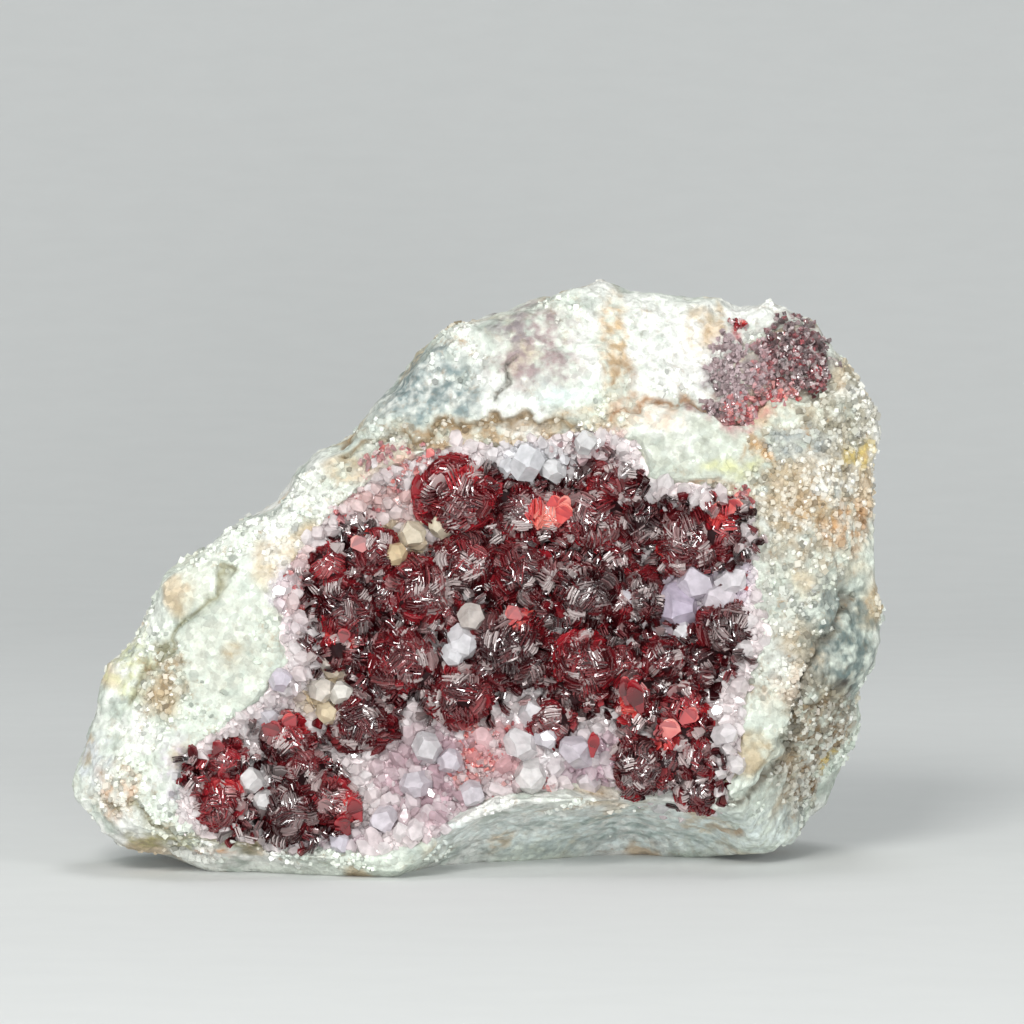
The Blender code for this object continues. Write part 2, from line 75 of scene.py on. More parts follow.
camera_data = bpy.data.cameras.new("camera")
camera_data.lens, camera_data.sensor_width = CAMERA_LENS, CAMERA_SENSOR
camera_data.clip_start, camera_data.clip_end = 10 * MM, 20.0
camera = bpy.data.objects.new("camera", camera_data)
bpy.context.scene.collection.objects.link(camera)
camera.location = CAMERA_AIM + CAMERA_DISTANCE * Vector((0, -math.cos(CAMERA_RISE), math.sin(CAMERA_RISE)))
camera.rotation_euler.x = math.pi / 2 - CAMERA_RISE
bpy.context.scene.camera = camera

LIGHTS = {
    # name: place in metres, width in metres, watts, colour
    "front_soft_light": ((-0.16, -0.58, 0.40), 0.20, 2.9, (1.0, 0.99, 0.97)),
    "right_fill_light": ((0.46, -0.50, 0.22), 0.14, 1.1, (0.97, 0.99, 1.0)),
    "left_side_light": ((-0.55, -0.35, 0.14), 0.12, 0.8, (1.0, 1.0, 1.0)),
    "low_front_light": ((0.06, -0.66, 0.04), 0.12, 2.6, (1.0, 1.0, 1.0)),
    "top_light": ((0.05, 0.05, 0.70), 0.30, 1.1, (1.0, 1.0, 1.0)),
}
LIGHTS_AIM = Vector((0.0, 0.0, 0.022))
for name, (place, width, watts, colour) in LIGHTS.items():
    light_data = bpy.data.lights.new(name, "AREA")
    light_data.size, light_data.energy, light_data.color = width, watts, colour
    light = bpy.data.objects.new(name, light_data)
    bpy.context.scene.collection.objects.link(light)
    light.location = place
    light.rotation_euler = (LIGHTS_AIM - light.location).to_track_quat("-Z", "Y").to_euler()


def linear(colour):
    """An sRGB hex colour as the linear red, green, blue and alpha that a shader takes."""
    parts = [int(colour[i : i + 2], 16) / 255 for i in (1, 3, 5)]
    return (*(c / 12.92 if c <= 0.04045 else ((c + 0.055) / 1.055) ** 2.4 for c in parts), 1.0)


def add_node(tree, kind, settings=None, inputs=None):
    """Adds a node, sets its properties, and fills its inputs with values or links, by name or number."""
    node = tree.nodes.new(kind)
    for name, value in (settings or {}).items():
        setattr(node, name, value)
    for name, value in (inputs or {}).items():
        if isinstance(value, bpy.types.NodeSocket):
            tree.links.new(value, node.inputs[name])
        else:
            node.inputs[name].default_value = value
    return node


def mixed(tree, share, under, over, blend="MIX"):
    """A share of one colour laid over another, as a shader's colour."""
    settings = {"data_type": "RGBA", "blend_type": blend}
    return add_node(tree, "ShaderNodeMix", settings, {0: share, 6: under, 7: over}).outputs[2]


world = bpy.data.worlds.new("studio")
world.use_nodes = True
world.node_tree.nodes["Background"].inputs["Color"].default_value = linear("#e4e8ea")
world.node_tree.nodes["Background"].inputs["Strength"].default_value = 0.38
bpy.context.scene.world = world
bpy.context.scene.view_settings.view_transform = "Standard"
# Light passes through a few crystals one behind the other, and no more is followed.
path = bpy.context.scene.cycles
path.max_bounces, path.diffuse_bounces, path.glossy_bounces, path.transmission_bounces = 6, 3, 3, 5

# Rough paper: no gloss, so nothing of the specimen shows in it but a soft shadow.
paper = bpy.data.materials.new("matt_paper")
paper.use_nodes = True
paper_grain = add_node(paper.node_tree, "ShaderNodeTexNoise", inputs={"Scale": 400.0, "Detail": 3.0})
paper_tint = mixed(paper.node_tree, paper_grain.outputs["Fac"], linear("#d6d8d7"), linear("#dbdddc"))
paper_shader = paper.node_tree.nodes["Principled BSDF"]
paper.node_tree.links.new(paper_tint, paper_shader.inputs["Base Color"])
paper_shader.inputs["Roughness"].default_value = 0.9
paper_shader.inputs["Specular IOR Level"].default_value = 0.1

PAPER_WIDTH, PAPER_FRONT, PAPER_BACK, PAPER_BEND, PAPER_TOP = 3.2, -1.2, 0.22, 0.5, 1.6
BEND_STEPS = 16
profile = [(PAPER_FRONT, 0.0)]
for step in range(BEND_STEPS + 1):
    turn = math.pi / 2 * step / BEND_STEPS
    profile.append((PAPER_BACK + PAPER_BEND * math.sin(turn), PAPER_BEND * (1 - math.cos(turn))))
profile.append((PAPER_BACK + PAPER_BEND, PAPER_TOP))
bm = bmesh.new()
rows = [[bm.verts.new((side * PAPER_WIDTH / 2, y, z)) for side in (-1, 1)] for y, z in profile]
for near, far in zip(rows, rows[1:]):
    bm.faces.new((near[0], near[1], far[1], far[0]))
paper_mesh = bpy.data.meshes.new("paper_sweep")
bm.to_mesh(paper_mesh)
bm.free()
paper_mesh.shade_smooth()
paper_mesh.materials.append(paper)
paper_sweep = bpy.data.objects.new("paper_sweep", paper_mesh)
bpy.context.scene.collection.objects.link(paper_sweep)

# The host rock: pale carbonate and quartz over grey-green rock, stained ochre by iron, yellow-green by
# nickel and pink by weathered arsenates. It is broken on all sides: smooth greenish bosses between coarse
# sugary ground. It takes the place of the matrix node, with the broken surface worked finer.

ROCK_VOXEL = 0.24
ROCK_KEPT = 0.46
PATCH_SWELL = 0.30
FACE_FOOT_Y, FACE_LEAN = -14.0, 0.16
HOLLOW_CENTRE = (0.5, 18.5)
HOLLOW_RIM = [
    (-25.2, 5.2), (-24.0, 10.4), (-18.3, 14.6), (-15.6, 18.0), (-16.9, 23.6), (-14.6, 28.2), (-8.7, 34.0),
    (-3.0, 35.8), (5.4, 36.1), (10.0, 36.9), (13.0, 35.8), (13.8, 32.4), (18.3, 32.3), (22.4, 31.0),
    (22.9, 24.4), (24.0, 20.4), (21.9, 13.9), (21.7, 8.4), (20.0, 5.2), (15.6, 4.3), (7.6, 6.4),
    (1.8, 6.4), (-4.0, 3.4), (-9.5, 1.8), (-16.6, 2.1), (-22.6, 3.6),
]


def face_y(z):
    """How far back the front face lies at a height, in millimetres."""
    return FACE_FOOT_Y + FACE_LEAN * z


def rim_reach(x, z):
    """From the hollow's centre to its rim, in the direction of a place."""
    cx, cz = HOLLOW_CENTRE
    away = Vector((x - cx, z - cz))
    if away.length < 0.01:
        return 10.0
    away.normalize()
    reach = 0.0
    for (ax, az), (bx, bz) in zip(HOLLOW_RIM, HOLLOW_RIM[1:] + HOLLOW_RIM[:1]):
        side = Vector((bx - ax, bz - az))
        start = Vector((ax - cx, az - cz))
        across = away.x * side.y - away.y * side.x
        if abs(across) < 1e-9:
            continue
        along_ray = (start.x * side.y - start.y * side.x) / across
        along_side = (start.x * away.y - start.y * away.x) / across
        if along_ray > 0 and -1e-6 <= along_side <= 1 + 1e-6:
            reach = max(reach, along_ray)
    return reach


REACH_STEPS = 720
REACHES = []
for step in range(REACH_STEPS):
    angle = math.tau * step / REACH_STEPS
    REACHES.append(rim_reach(HOLLOW_CENTRE[0] + math.cos(angle), HOLLOW_CENTRE[1] + math.sin(angle)))


def hollow_share(x, z):
    """0 at the hollow's centre, 1 on its rim."""
    dx, dz = x - HOLLOW_CENTRE[0], z - HOLLOW_CENTRE[1]
    step = round(math.atan2(dz, dx) / math.tau * REACH_STEPS) % REACH_STEPS
    return math.hypot(dx, dz) / REACHES[step]


def smooth(low, high, value):
    """0 below low, 1 above high, and a smooth ramp between."""
    t = min(1.0, max(0.0, (value - low) / (high - low)))
    return t * t * (3 - 2 * t)


WHITE, PALE_GREEN, GREY_GREEN, BLUE_GREY = "#f4f5ef", "#e0e9dc", "#b4c0b4", "#9fabae"
OCHRE, BROWN, ORANGE, YELLOW = "#c6a064", "#94714a", "#d08b3e", "#dfc468"
YELLOW_GREEN, BEIGE, LILAC_WHITE = "#d8dbaa", "#e2ccb6", "#dbd0dc"
MAROON, DARK_RED, ROSE, CORAL, DARK = "#4a1016", "#7c1c26", "#c8737c", "#de7c78", "#24201e"

# The black spot in the upper right patch: a hole painted near black as its shade. The blades leave it bare.
DARK_HOLE, DARK_HOLE_RADIUS = (25.0, 44.2), 0.5
# Name: middle, half width and half height, colour, how much of it shows, how coarse-grained it is.
STONE_ZONES = {
    "right_strip": ((25.7, 22.9), (4.6, 11.5), "#bfc0b7", 0.9, 0.9),
    "right_grains": ((27.6, 32.9), (6.0, 7.0), "#b9a685", 0.85, 1.0),
    "top_right": ((30.6, 38.8), (2.6, 5.0), "#a8a390", 0.9, 1.0),
    "white_crown": ((14.6, 43.9), (9.0, 4.1), WHITE, 0.9, 0.25),
    "ochre_vein": ((11.1, 43.3), (0.9, 4.7), OCHRE, 0.8, 0.3),
    "ochre_vein_foot": ((12.0, 40.6), (1.0, 2.2), BROWN, 0.55, 0.5),
    "ochre_fleck": ((19.4, 45.6), (0.8, 2.0), OCHRE, 0.7, 0.6),
    "grey_patch": ((-4.0, 39.8), (4.8, 3.7), "#7c8e8e", 1.0, 0.3),
    "grey_patch_foot": ((-8.0, 36.6), (3.2, 1.7), "#b3bdb6", 0.8, 0.5),
    "violet_mottle": ((4.7, 43.3), (3.4, 3.6), "#a89493", 1.0, 0.2),
    "violet_edge": ((2.6, 45.2), (2.0, 1.0), "#8d8688", 0.8, 0.3),
    "pale_band": ((6.0, 39.1), (3.1, 1.7), "#dce9e4", 0.95, 0.0),
    "brown_band": ((0.4, 36.4), (7.8, 1.3), "#b5946a", 0.85, 0.8),
    "brown_band_right": ((8.6, 37.6), (3.2, 1.2), "#c9ad84", 0.7, 0.8),
    "pink_crust": ((-4.6, 33.4), (5.0, 1.9), "#cf8580", 0.9, 0.7),
    "grey_green_grains": ((-10.6, 31.8), (4.0, 2.9), "#d2d8cb", 0.8, 0.8),
    "dark_red_fleck": ((-9.4, 29.2), (1.2, 0.9), DARK_RED, 0.8, 0.5),
    "left_rim": ((-16.6, 27.0), (2.0, 3.6), WHITE, 0.8, 0.7),
    "boss": ((17.3, 35.0), (5.2, 2.7), "#c0c5b6", 1.0, 0.0),
    "boss_end": ((20.6, 34.1), (1.6, 1.0), "#dfe2a6", 0.8, 0.0),
    # Brown rock under the boss, with the shadow of its overhang painted in.
    "boss_rim_brown_and_shadow": ((16.6, 32.0), (6.4, 0.8), "#a98058", 0.8, 0.7),
    "beige_bulge": ((14.1, 38.5), (3.6, 1.1), "#e0c6ae", 0.8, 0.2),
    "upper_seam": ((16.5, 39.3), (4.2, 0.4), "#b08a66", 0.7, 0.3),
    "blue_grey": ((25.9, 35.9), (2.6, 1.8), BLUE_GREY, 0.8, 0.8),
    "yellow_edge": ((32.0, 34.6), (1.5, 1.1), YELLOW, 0.8, 0.7),
    "orange_stain": ((30.3, 28.9), (2.1, 2.0), ORANGE, 0.55, 0.9),
    "ochre_shade": ((27.4, 30.2), (2.4, 1.6), "#b99668", 0.6, 1.0),
    "ochre_shade_low": ((26.4, 19.6), (1.7, 1.4), "#cdb48a", 0.6, 1.0),
    "brown_fleck": ((22.5, 15.4), (0.8, 0.9), BROWN, 0.7, 0.8),
    "pink_grains": ((25.1, 15.5), (1.9, 1.8), BEIGE, 0.8, 0.9),
    "smooth_band": ((24.1, 12.0), (2.1, 2.4), "#dfe8da", 0.9, 0.0),
    # The receding side face at the right: grey-green stone, painted darker as the shade on that face.
    "side_face_stone_and_shade": ((29.9, 18.6), (3.2, 5.8), "#6c7d7a", 1.0, 0.2),
    # A slot painted near black: the shade inside it.
    "slot_painted_shade": ((30.3, 15.6), (0.7, 1.2), DARK, 0.9, 0.0),
    "brown_block": ((28.2, 9.4), (3.6, 6.6), "#7e6848", 1.0, 1.0),
    "yellow_fleck": ((29.4, 8.2), (0.7, 1.2), YELLOW, 0.8, 0.6),
    # The corner under the set-back block, painted dark as its shade.
    "corner_painted_shade": ((26.3, 3.4), (1.2, 0.7), "#3c5553", 0.8, 0.1),
    "underside": ((11.6, 2.8), (15.5, 2.6), "#effaf7", 1.0, 0.1),
    "underside_dark": ((4.6, 1.0), (6.0, 0.9), "#93a09b", 0.6, 0.0),
    "underside_streak": ((9.0, 3.6), (6.5, 0.35), "#95a59f", 0.9, 0.0),
    "underside_streak_low": ((14.5, 2.2), (5.5, 0.4), "#b2c2bc", 0.9, 0.0),
    "underside_rust": ((20.5, 3.4), (1.2, 0.5), "#b08c5c", 0.8, 0.3),
    "left_block": ((-23.0, 24.4), (2.6, 2.0), "#e4e9d9", 1.0, 0.1),
    "left_strip": ((-29.4, 17.6), (1.9, 3.2), YELLOW_GREEN, 0.8, 0.2),
    "left_boss": ((-20.8, 18.4), (3.4, 4.3), "#cdd0c2", 0.95, 0.0),
    "left_brown": ((-26.0, 16.3), (1.9, 2.8), "#ab926e", 0.8, 1.0),
    "left_white": ((-28.2, 11.9), (1.9, 1.7), "#fbfbf6", 0.9, 0.6),
    "tip": ((-32.0, 9.3), (1.4, 1.8), "#e2e8ea", 0.9, 0.3),
    "nodule": ((-30.1, 7.1), (1.8, 2.1), "#d0ae90", 0.95, 1.0),
    "left_lilac": ((-25.3, 9.0), (1.5, 3.1), LILAC_WHITE, 0.8, 0.8),
    "upper_lilac": ((-16.3, 23.4), (1.7, 2.0), LILAC_WHITE, 0.7, 0.8),
    "under_left": ((-26.4, 3.0), (3.0, 0.8), "#b9b172", 0.9, 0.3),
    "under_left_orange": ((-22.1, 2.2), (1.4, 0.5), ORANGE, 0.8, 0.3),
    "purple_grey": ((21.0, 41.4), (2.0, 2.6), "#8a747a", 0.9, 0.6),
    "dark_red_patch": ((26.0, 42.6), (3.1, 3.4), MAROON, 0.95, 0.3),
    "coral_edge": ((23.8, 40.2), (0.9, 1.8), CORAL, 0.8, 0.6),
    # The hole's shade, painted near black.
    "hole_painted_shade": (DARK_HOLE, (0.7, 0.6), DARK, 1.0, 0.0),
    "red_spot": ((21.1, 45.4), (0.6, 0.8), "#b23744", 0.9, 0.4),
    "red_tail": ((18.8, 38.6), (1.6, 0.7), "#7a3636", 0.8, 0.5),
    "rose_tail": ((21.3, 37.5), (1.8, 1.1), ROSE, 0.8, 0.5),
    "orange_tail": ((23.1, 35.8), (0.8, 1.4), "#cf9848", 0.7, 0.8),
    "hazy_red": ((10.8, 35.6), (1.4, 1.6), "#c58a8e", 0.7, 0.6),
}
# Thin dark cracks: their course, width, depth and colour.
CRACKS = [
    ([(-20.8, 25.5), (-23.3, 21.9), (-26.9, 18.6), (-28.1, 16.4), (-29.2, 14.5)], 0.38, 0.4, "#8f8c6c"),
    ([(-31.8, 6.9), (-27.0, 4.6), (-18.5, 2.3)], 0.35, 0.45, "#8a8464"),
    ([(-11.8, 34.8), (-7.8, 35.8), (-1.4, 36.9), (3.3, 37.6), (8.1, 37.6)], 0.35, 0.5, "#8c744e"),
    ([(10.8, 37.9), (14.1, 39.2), (17.4, 39.2), (19.5, 38.2)], 0.22, 0.35, "#a77e58"),
    ([(3.0, 43.7), (2.1, 41.4), (1.7, 39.0)], 0.25, 0.5, "#7d7a72"),
    (
        [(30.6, 23.4), (29.0, 20.2), (27.0, 18.4), (26.6, 15.4), (26.2, 12.4), (24.2, 8.3), (21.0, 6.0)],
        0.5, 0.8, "#6f6858",
    ),
]
CRACK_REACH = 2.5
ZONE_WARP, ZONE_WARP_SIZE = 1.3, 2.0
RAGGED, RAGGED_SIZE = 0.35, 0.7


def from_line(x, z, course):
    """How far a place is from a crack's course."""
    nearest = 1e9
    place = Vector((x, z))
    for start, end in zip(course, course[1:]):
        a, side = Vector(start), Vector(end) - Vector(start)
        t = min(1.0, max(0.0, (place - a).dot(side) / side.length_squared))
        nearest = min(nearest, (place - a - side * t).length)
    return nearest


def new_object(name, mesh):
    """A mesh as an object in the scene, at the origin."""
    made = bpy.data.objects.new(name, mesh)
    bpy.context.scene.collection.objects.link(made)
    return made


def bake(obj):
    """Puts what the modifiers make into the object's own mesh."""
    graph = bpy.context.evaluated_depsgraph_get()
    made = bpy.data.meshes.new_from_object(obj.evaluated_get(graph))
    obj.modifiers.clear()
    obj.data = made


def positions(mesh):
    """Where the vertices are, in metres, one to a row."""
    flat = np.zeros(len(mesh.vertices) * 3)
    mesh.vertices.foreach_get("co", flat)
    return flat.reshape(-1, 3)


def store(mesh, name, kind, values):
    """Keeps a value for each vertex: a number, a colour or a direction."""
    field = {"FLOAT": "value", "FLOAT_COLOR": "color", "FLOAT_VECTOR": "vector"}[kind]
    kept = mesh.attributes.new(name, kind, "POINT")
    kept.data.foreach_set(field, np.asarray(values, dtype=np.float32).ravel())


rock_mesh = frame["nodes"]["matrix"].data.copy()
bm = bmesh.new()
bm.from_mesh(rock_mesh)
bm.from_mesh(frame["nodes"]["wendwilsonite_upper_right_patch"].data)
bmesh.ops.remove_doubles(bm, verts=bm.verts, dist=0.001 * MM)
# The patch is overgrown by the rock around it, so its solid, a little swollen, closes the gap beside it.
bm.normal_update()
patch_verts = set()
left = set(bm.verts)
while left:
    body, edge_of_body = set(), [left.pop()]
    while edge_of_body:
        vertex = edge_of_body.pop()
        body.add(vertex)
        near = {edge.other_vert(vertex) for edge in vertex.link_edges} & left
        left -= near
        edge_of_body += near
    if max(v.co.x for v in body) - min(v.co.x for v in body) < 15 * MM:
        patch_verts |= body
for vertex in patch_verts:
    vertex.co += vertex.normal * PATCH_SWELL * MM
bm.to_mesh(rock_mesh)
bm.free()
rock = new_object("host_rock", rock_mesh)
finer = rock.modifiers.new("Finer mesh", "REMESH")
finer.mode = "VOXEL"
finer.voxel_size = ROCK_VOXEL * MM
bake(rock)


CHIP_SIZE, CHIP_HEIGHT = 2.6, 0.55
STEP_SIZE, STEP_HEIGHT = 1.3, 0.30
POWDER_SIZE, POWDER_HEIGHT = 0.55, 0.20
GRAIN_SIZE, GRAIN_HEIGHT = 0.85, 0.42
CELL_MIDDLE = 0.45
SMOOTH_CHIPS, SMOOTH_POWDER = 0.35, 0.4


def stone_relief(p, grain):
    """Height over the plain break, in millimetres: chips and steps, then grains where the rock is coarse."""
    chips = CHIP_HEIGHT * (CELL_MIDDLE - noise.voronoi(p / CHIP_SIZE)[0][0])
    steps = STEP_HEIGHT * noise.noise(p / STEP_SIZE)
    powder = POWDER_HEIGHT * noise.noise(p / POWDER_SIZE)
    grains = grain * GRAIN_HEIGHT * (CELL_MIDDLE - noise.voronoi(p / GRAIN_SIZE)[0][0])
    chips_left = SMOOTH_CHIPS + (1 - SMOOTH_CHIPS) * grain
    return (chips + steps) * chips_left + powder * (SMOOTH_POWDER + (1 - SMOOTH_POWDER) * grain) + grains


GROUND_SIZE, LEAST_GRAIN, GRAIN_SPREAD = 5.0, 0.25, 0.5


def ground_grain(place):
    """How coarse-grained the rock is, from 0 to 1, where no zone says otherwise."""
    return LEAST_GRAIN + GRAIN_SPREAD * smooth(-0.1, 0.4, noise.noise(place / GROUND_SIZE))


def zone_share(warped, middle, half):
    """How much of a zone reaches each warped place: 1 inside, 0 outside, with a soft edge."""
    apart = np.hypot((warped[:, 0] - middle[0]) / half[0], (warped[:, 1] - middle[1]) / half[1])
    t = np.clip((1.4 - apart) / 0.8, 0, 1)
    return t * t * (3 - 2 * t)


ZONE_SEED = 5
# The pushes would start from the clock, and differ from run to run, if they were given no seed.
noise.seed_set(ZONE_SEED)


def warp_places(points):
    """Places on the front, pushed about so that the zones get ragged edges."""
    moved = np.empty((len(points), 2))
    for i, (x, y, z) in enumerate(points):
        push = noise.noise_vector(Vector((x, y, z)) / ZONE_WARP_SIZE) * ZONE_WARP
        push += noise.noise_vector(Vector((x, y, z)) / RAGGED_SIZE) * RAGGED
        moved[i] = (x + push.x, z + push.y)
    return moved


mesh = rock.data
points = positions(mesh) / MM
facings = np.zeros(len(mesh.vertices) * 3)
mesh.vertices.foreach_get("normal", facings)
facings = facings.reshape(-1, 3)
warped = warp_places(points)
front = np.clip((-facings[:, 1] + 0.15) / 0.35, 0, 1) * (points[:, 1] < 4.0)
granular = np.array([ground_grain(Vector(p)) for p in points])
for middle, half, _, strength, grain in STONE_ZONES.values():
    share = zone_share(warped, middle, half) * strength * front
    granular = granular * (1 - share) + grain * share
IN_PIT, PIT_DEPTH = 0.97, 1.6
in_pit = np.array([hollow_share(x, z) < IN_PIT and y > face_y(z) + PIT_DEPTH for x, y, z in points])
lowest = points[:, 2].min()
lift = np.zeros(len(points))
for i, p in enumerate(points):
    if in_pit[i] and facings[i, 1] < 0.3:
        continue
    out = stone_relief(Vector(p), granular[i])
    if facings[i, 1] < 0:
        for course, width, depth, _ in CRACKS:
            apart = from_line(warped[i, 0], warped[i, 1], course)
            if apart < CRACK_REACH * width:
                out -= depth * math.exp(-((apart / width) ** 2))
    # The foot stays flat where the rock rests.
    lift[i] = out * smooth(0.05, 1.2, p[2] - lowest)
points += facings * lift[:, None]
mesh.vertices.foreach_set("co", (points * MM).ravel())
mesh.update()

behind = rock.vertex_groups.new(name="may thin out")
weights = np.where(in_pit, 1.0, np.clip((facings[:, 1] + 0.55) / 0.6, 0.0, 1.0))
for level in range(11):
    chosen = np.nonzero(np.round(weights * 10) == level)[0]
    if len(chosen):
        behind.add(chosen.tolist(), level / 10, "REPLACE")
thinner = rock.modifiers.new("Thinner back", "DECIMATE")
thinner.ratio = ROCK_KEPT
thinner.vertex_group = behind.name
thinner.vertex_group_factor = 1.0
bake(rock)
rock.vertex_groups.clear()

mesh = rock.data
points = positions(mesh) / MM
facings = np.zeros(len(mesh.vertices) * 3)
mesh.vertices.foreach_get("normal", facings)
facings = facings.reshape(-1, 3)
warped = warp_places(points)
front = np.clip((-facings[:, 1] + 0.35) / 0.35, 0, 1) * (points[:, 1] < 2.0)
colours = np.empty((len(points), 4))
granular = np.empty(len(points))
for i, p in enumerate(points):
    place = Vector(p)
    broad = noise.noise(place / 9.0)
    middling = noise.fractal(place / 3.2, 0.8, 2.0, 3)
    colour = Vector(linear(WHITE)).lerp(Vector(linear(PALE_GREEN)), smooth(-0.5, 0.3, broad))
    colour = colour.lerp(Vector(linear(GREY_GREEN)), 0.75 * smooth(0.05, 0.55, middling))
    colour = colour.lerp(
        Vector(linear(OCHRE)), 0.6 * smooth(0.18, 0.5, noise.noise(place / 4.1 + Vector((9, 4, 2))))
    )
    colours[i] = colour
    granular[i] = ground_grain(place)
speckle = np.array([0.62 + 0.9 * noise.fractal(Vector(p) / 0.9, 0.6, 2.0, 3) for p in points]).clip(
    0.1, 1.0
)
for middle, half, colour, strength, grain in STONE_ZONES.values():
    share = (zone_share(warped, middle, half) * strength * front * speckle)[:, None]
    colours = colours * (1 - share) + np.array(linear(colour)) * share
    granular = granular * (1 - share[:, 0]) + grain * share[:, 0]
for course, width, _, colour in CRACKS:
    for i in np.nonzero(front > 0.3)[0]:
        apart = from_line(warped[i, 0], warped[i, 1], course)
        if apart < CRACK_REACH * width:
            share = 0.9 * math.exp(-((apart / width) ** 2))
            colours[i] = colours[i] * (1 - share) + np.array(linear(colour)) * share
store(mesh, "stone_colour", "FLOAT_COLOR", colours)
store(mesh, "granular", "FLOAT", granular)


def reckon(tree, operation, *values):
    """What a tree's sum of two or three values comes to."""
    return add_node(tree, "ShaderNodeMath", {"operation": operation}, dict(enumerate(values))).outputs[0]


def across(size):
    """The scale that makes a pattern's cells this many millimetres wide."""
    return 1 / (size * MM)


# Carbonate rock, freshly broken: dull, with small cleavage faces that differ in brightness, and specks of
# iron stain between the grains.
stone = bpy.data.materials.new("broken_carbonate_rock")
stone.use_nodes = True
tree = stone.node_tree
own_place = add_node(tree, "ShaderNodeTexCoord").outputs["Object"]
colour_here = add_node(tree, "ShaderNodeAttribute", {"attribute_name": "stone_colour"}).outputs["Color"]
grain_here = add_node(tree, "ShaderNodeAttribute", {"attribute_name": "granular"}).outputs["Fac"]
cells = add_node(tree, "ShaderNodeTexVoronoi", inputs={"Vector": own_place, "Scale": across(0.55)})
cell_tone = add_node(tree, "ShaderNodeSeparateColor", inputs={0: cells.outputs["Color"]})
tone = add_node(
    tree, "ShaderNodeMapRange", inputs={"Value": cell_tone.outputs[0], "To Min": 0.67, "To Max": 0.95}
)
powder = add_node(
    tree,
    "ShaderNodeTexNoise",
    inputs={"Vector": own_place, "Scale": across(0.45), "Detail": 5.0, "Roughness": 0.7},
)
powder_tone = add_node(
    tree,
    "ShaderNodeMapRange",
    inputs={
        "Value": powder.outputs["Fac"], "From Min": 0.3, "From Max": 0.7, "To Min": 0.80, "To Max": 1.06
    },
)
both_tones = reckon(tree, "MULTIPLY", tone.outputs[0], powder_tone.outputs[0])
toned = mixed(tree, 1.0, colour_here, both_tones, "MULTIPLY")
stain = add_node(
    tree,
    "ShaderNodeTexNoise",
    inputs={"Vector": own_place, "Scale": across(1.1), "Detail": 6.0, "Roughness": 0.75},
)
stain_share = add_node(
    tree,
    "ShaderNodeMapRange",
    inputs={"Value": stain.outputs["Fac"], "From Min": 0.54, "From Max": 0.68, "To Max": 0.9},
)
stain_here = reckon(tree, "MULTIPLY", stain_share.outputs[0], grain_here)
stained = mixed(tree, stain_here, toned, linear("#96713f"))
speck = add_node(
    tree, "ShaderNodeTexNoise", inputs={"Vector": own_place, "Scale": across(0.6), "Detail": 2.0}
)
speck_share = add_node(
    tree,
    "ShaderNodeMapRange",
    inputs={"Value": speck.outputs["Fac"], "From Min": 0.60, "From Max": 0.70, "To Max": 0.7},
)
coarser = add_node(tree, "ShaderNodeMapRange", inputs={"Value": grain_here, "To Min": 0.22, "To Max": 1.0})
speck_here = reckon(tree, "MULTIPLY", speck_share.outputs[0], coarser.outputs[0])
specked = mixed(tree, speck_here, stained, linear("#6f6a58"))
edges = add_node(
    tree,
    "ShaderNodeTexVoronoi",
    {"feature": "DISTANCE_TO_EDGE"},
    {"Vector": own_place, "Scale": across(0.7)},
)
relief = reckon(tree, "MULTIPLY_ADD", edges.outputs[0], grain_here, powder.outputs["Fac"])
bump = add_node(
    tree, "ShaderNodeBump", inputs={"Height": relief, "Strength": 0.7, "Distance": 0.25 * MM}
)
shader = tree.nodes["Principled BSDF"]
tree.links.new(specked, shader.inputs["Base Color"])
tree.links.new(bump.outputs[0], shader.inputs["Normal"])
shader.inputs["Roughness"].default_value = 0.58
shader.inputs["IOR"].default_value = 1.62
rock.data.materials.clear()
rock.data.materials.append(stone)
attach(rock, "root")
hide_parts("matrix")

# The sugary grains that stand on the coarse ground: rhombs and splinters of carbonate and quartz, a fifth
# to two thirds of a millimetre, each half sunk in the rock that it grew in.

GRAINS_PER_MM2 = 5.5
GRAIN_SIZES = (0.22, 0.62)
COARSE_FROM, COARSE_OVER = 0.42, 0.5
BACK_COVER, BARE_FOOT = 0.28, 0.9


def new_tree(name, inputs):
    """A geometry tree with named inputs: its group input and output nodes come with it."""
    tree = bpy.data.node_groups.new(name, "GeometryNodeTree")
    tree.interface.new_socket("Geometry", in_out="INPUT", socket_type="NodeSocketGeometry")
    tree.interface.new_socket("Geometry", in_out="OUTPUT", socket_type="NodeSocketGeometry")
    for label, kind in inputs.items():
        tree.interface.new_socket(label, in_out="INPUT", socket_type="NodeSocket" + kind)
    return tree, add_node(tree, "NodeGroupInput").outputs, add_node(tree, "NodeGroupOutput")


# Where a random value's lower limit, upper limit and result stand among its sockets.
CHANCE_SOCKETS = {"FLOAT": (2, 3, 1), "FLOAT_VECTOR": (0, 1, 0), "INT": (4, 5, 2)}


def by_chance(tree, low, high, seed, kind="FLOAT"):
    """A value between two limits for each thing that a tree places, by chance, from a fixed seed."""
    low_at, high_at, result_at = CHANCE_SOCKETS[kind]
    limits = {low_at: low, high_at: high, "Seed": seed}
    return add_node(tree, "FunctionNodeRandomValue", {"data_type": kind}, limits).outputs[result_at]


def grow(obj, tree, values):
    """Runs a geometry tree on an object, with its inputs set, and keeps the result as its plain mesh."""
    modifier = obj.modifiers.new(tree.name, "NODES")
    modifier.node_group = tree
    for item in tree.interface.items_tree:
        if item.in_out == "INPUT" and item.name in values:
            modifier[item.identifier] = values[item.name]
    bake(obj)


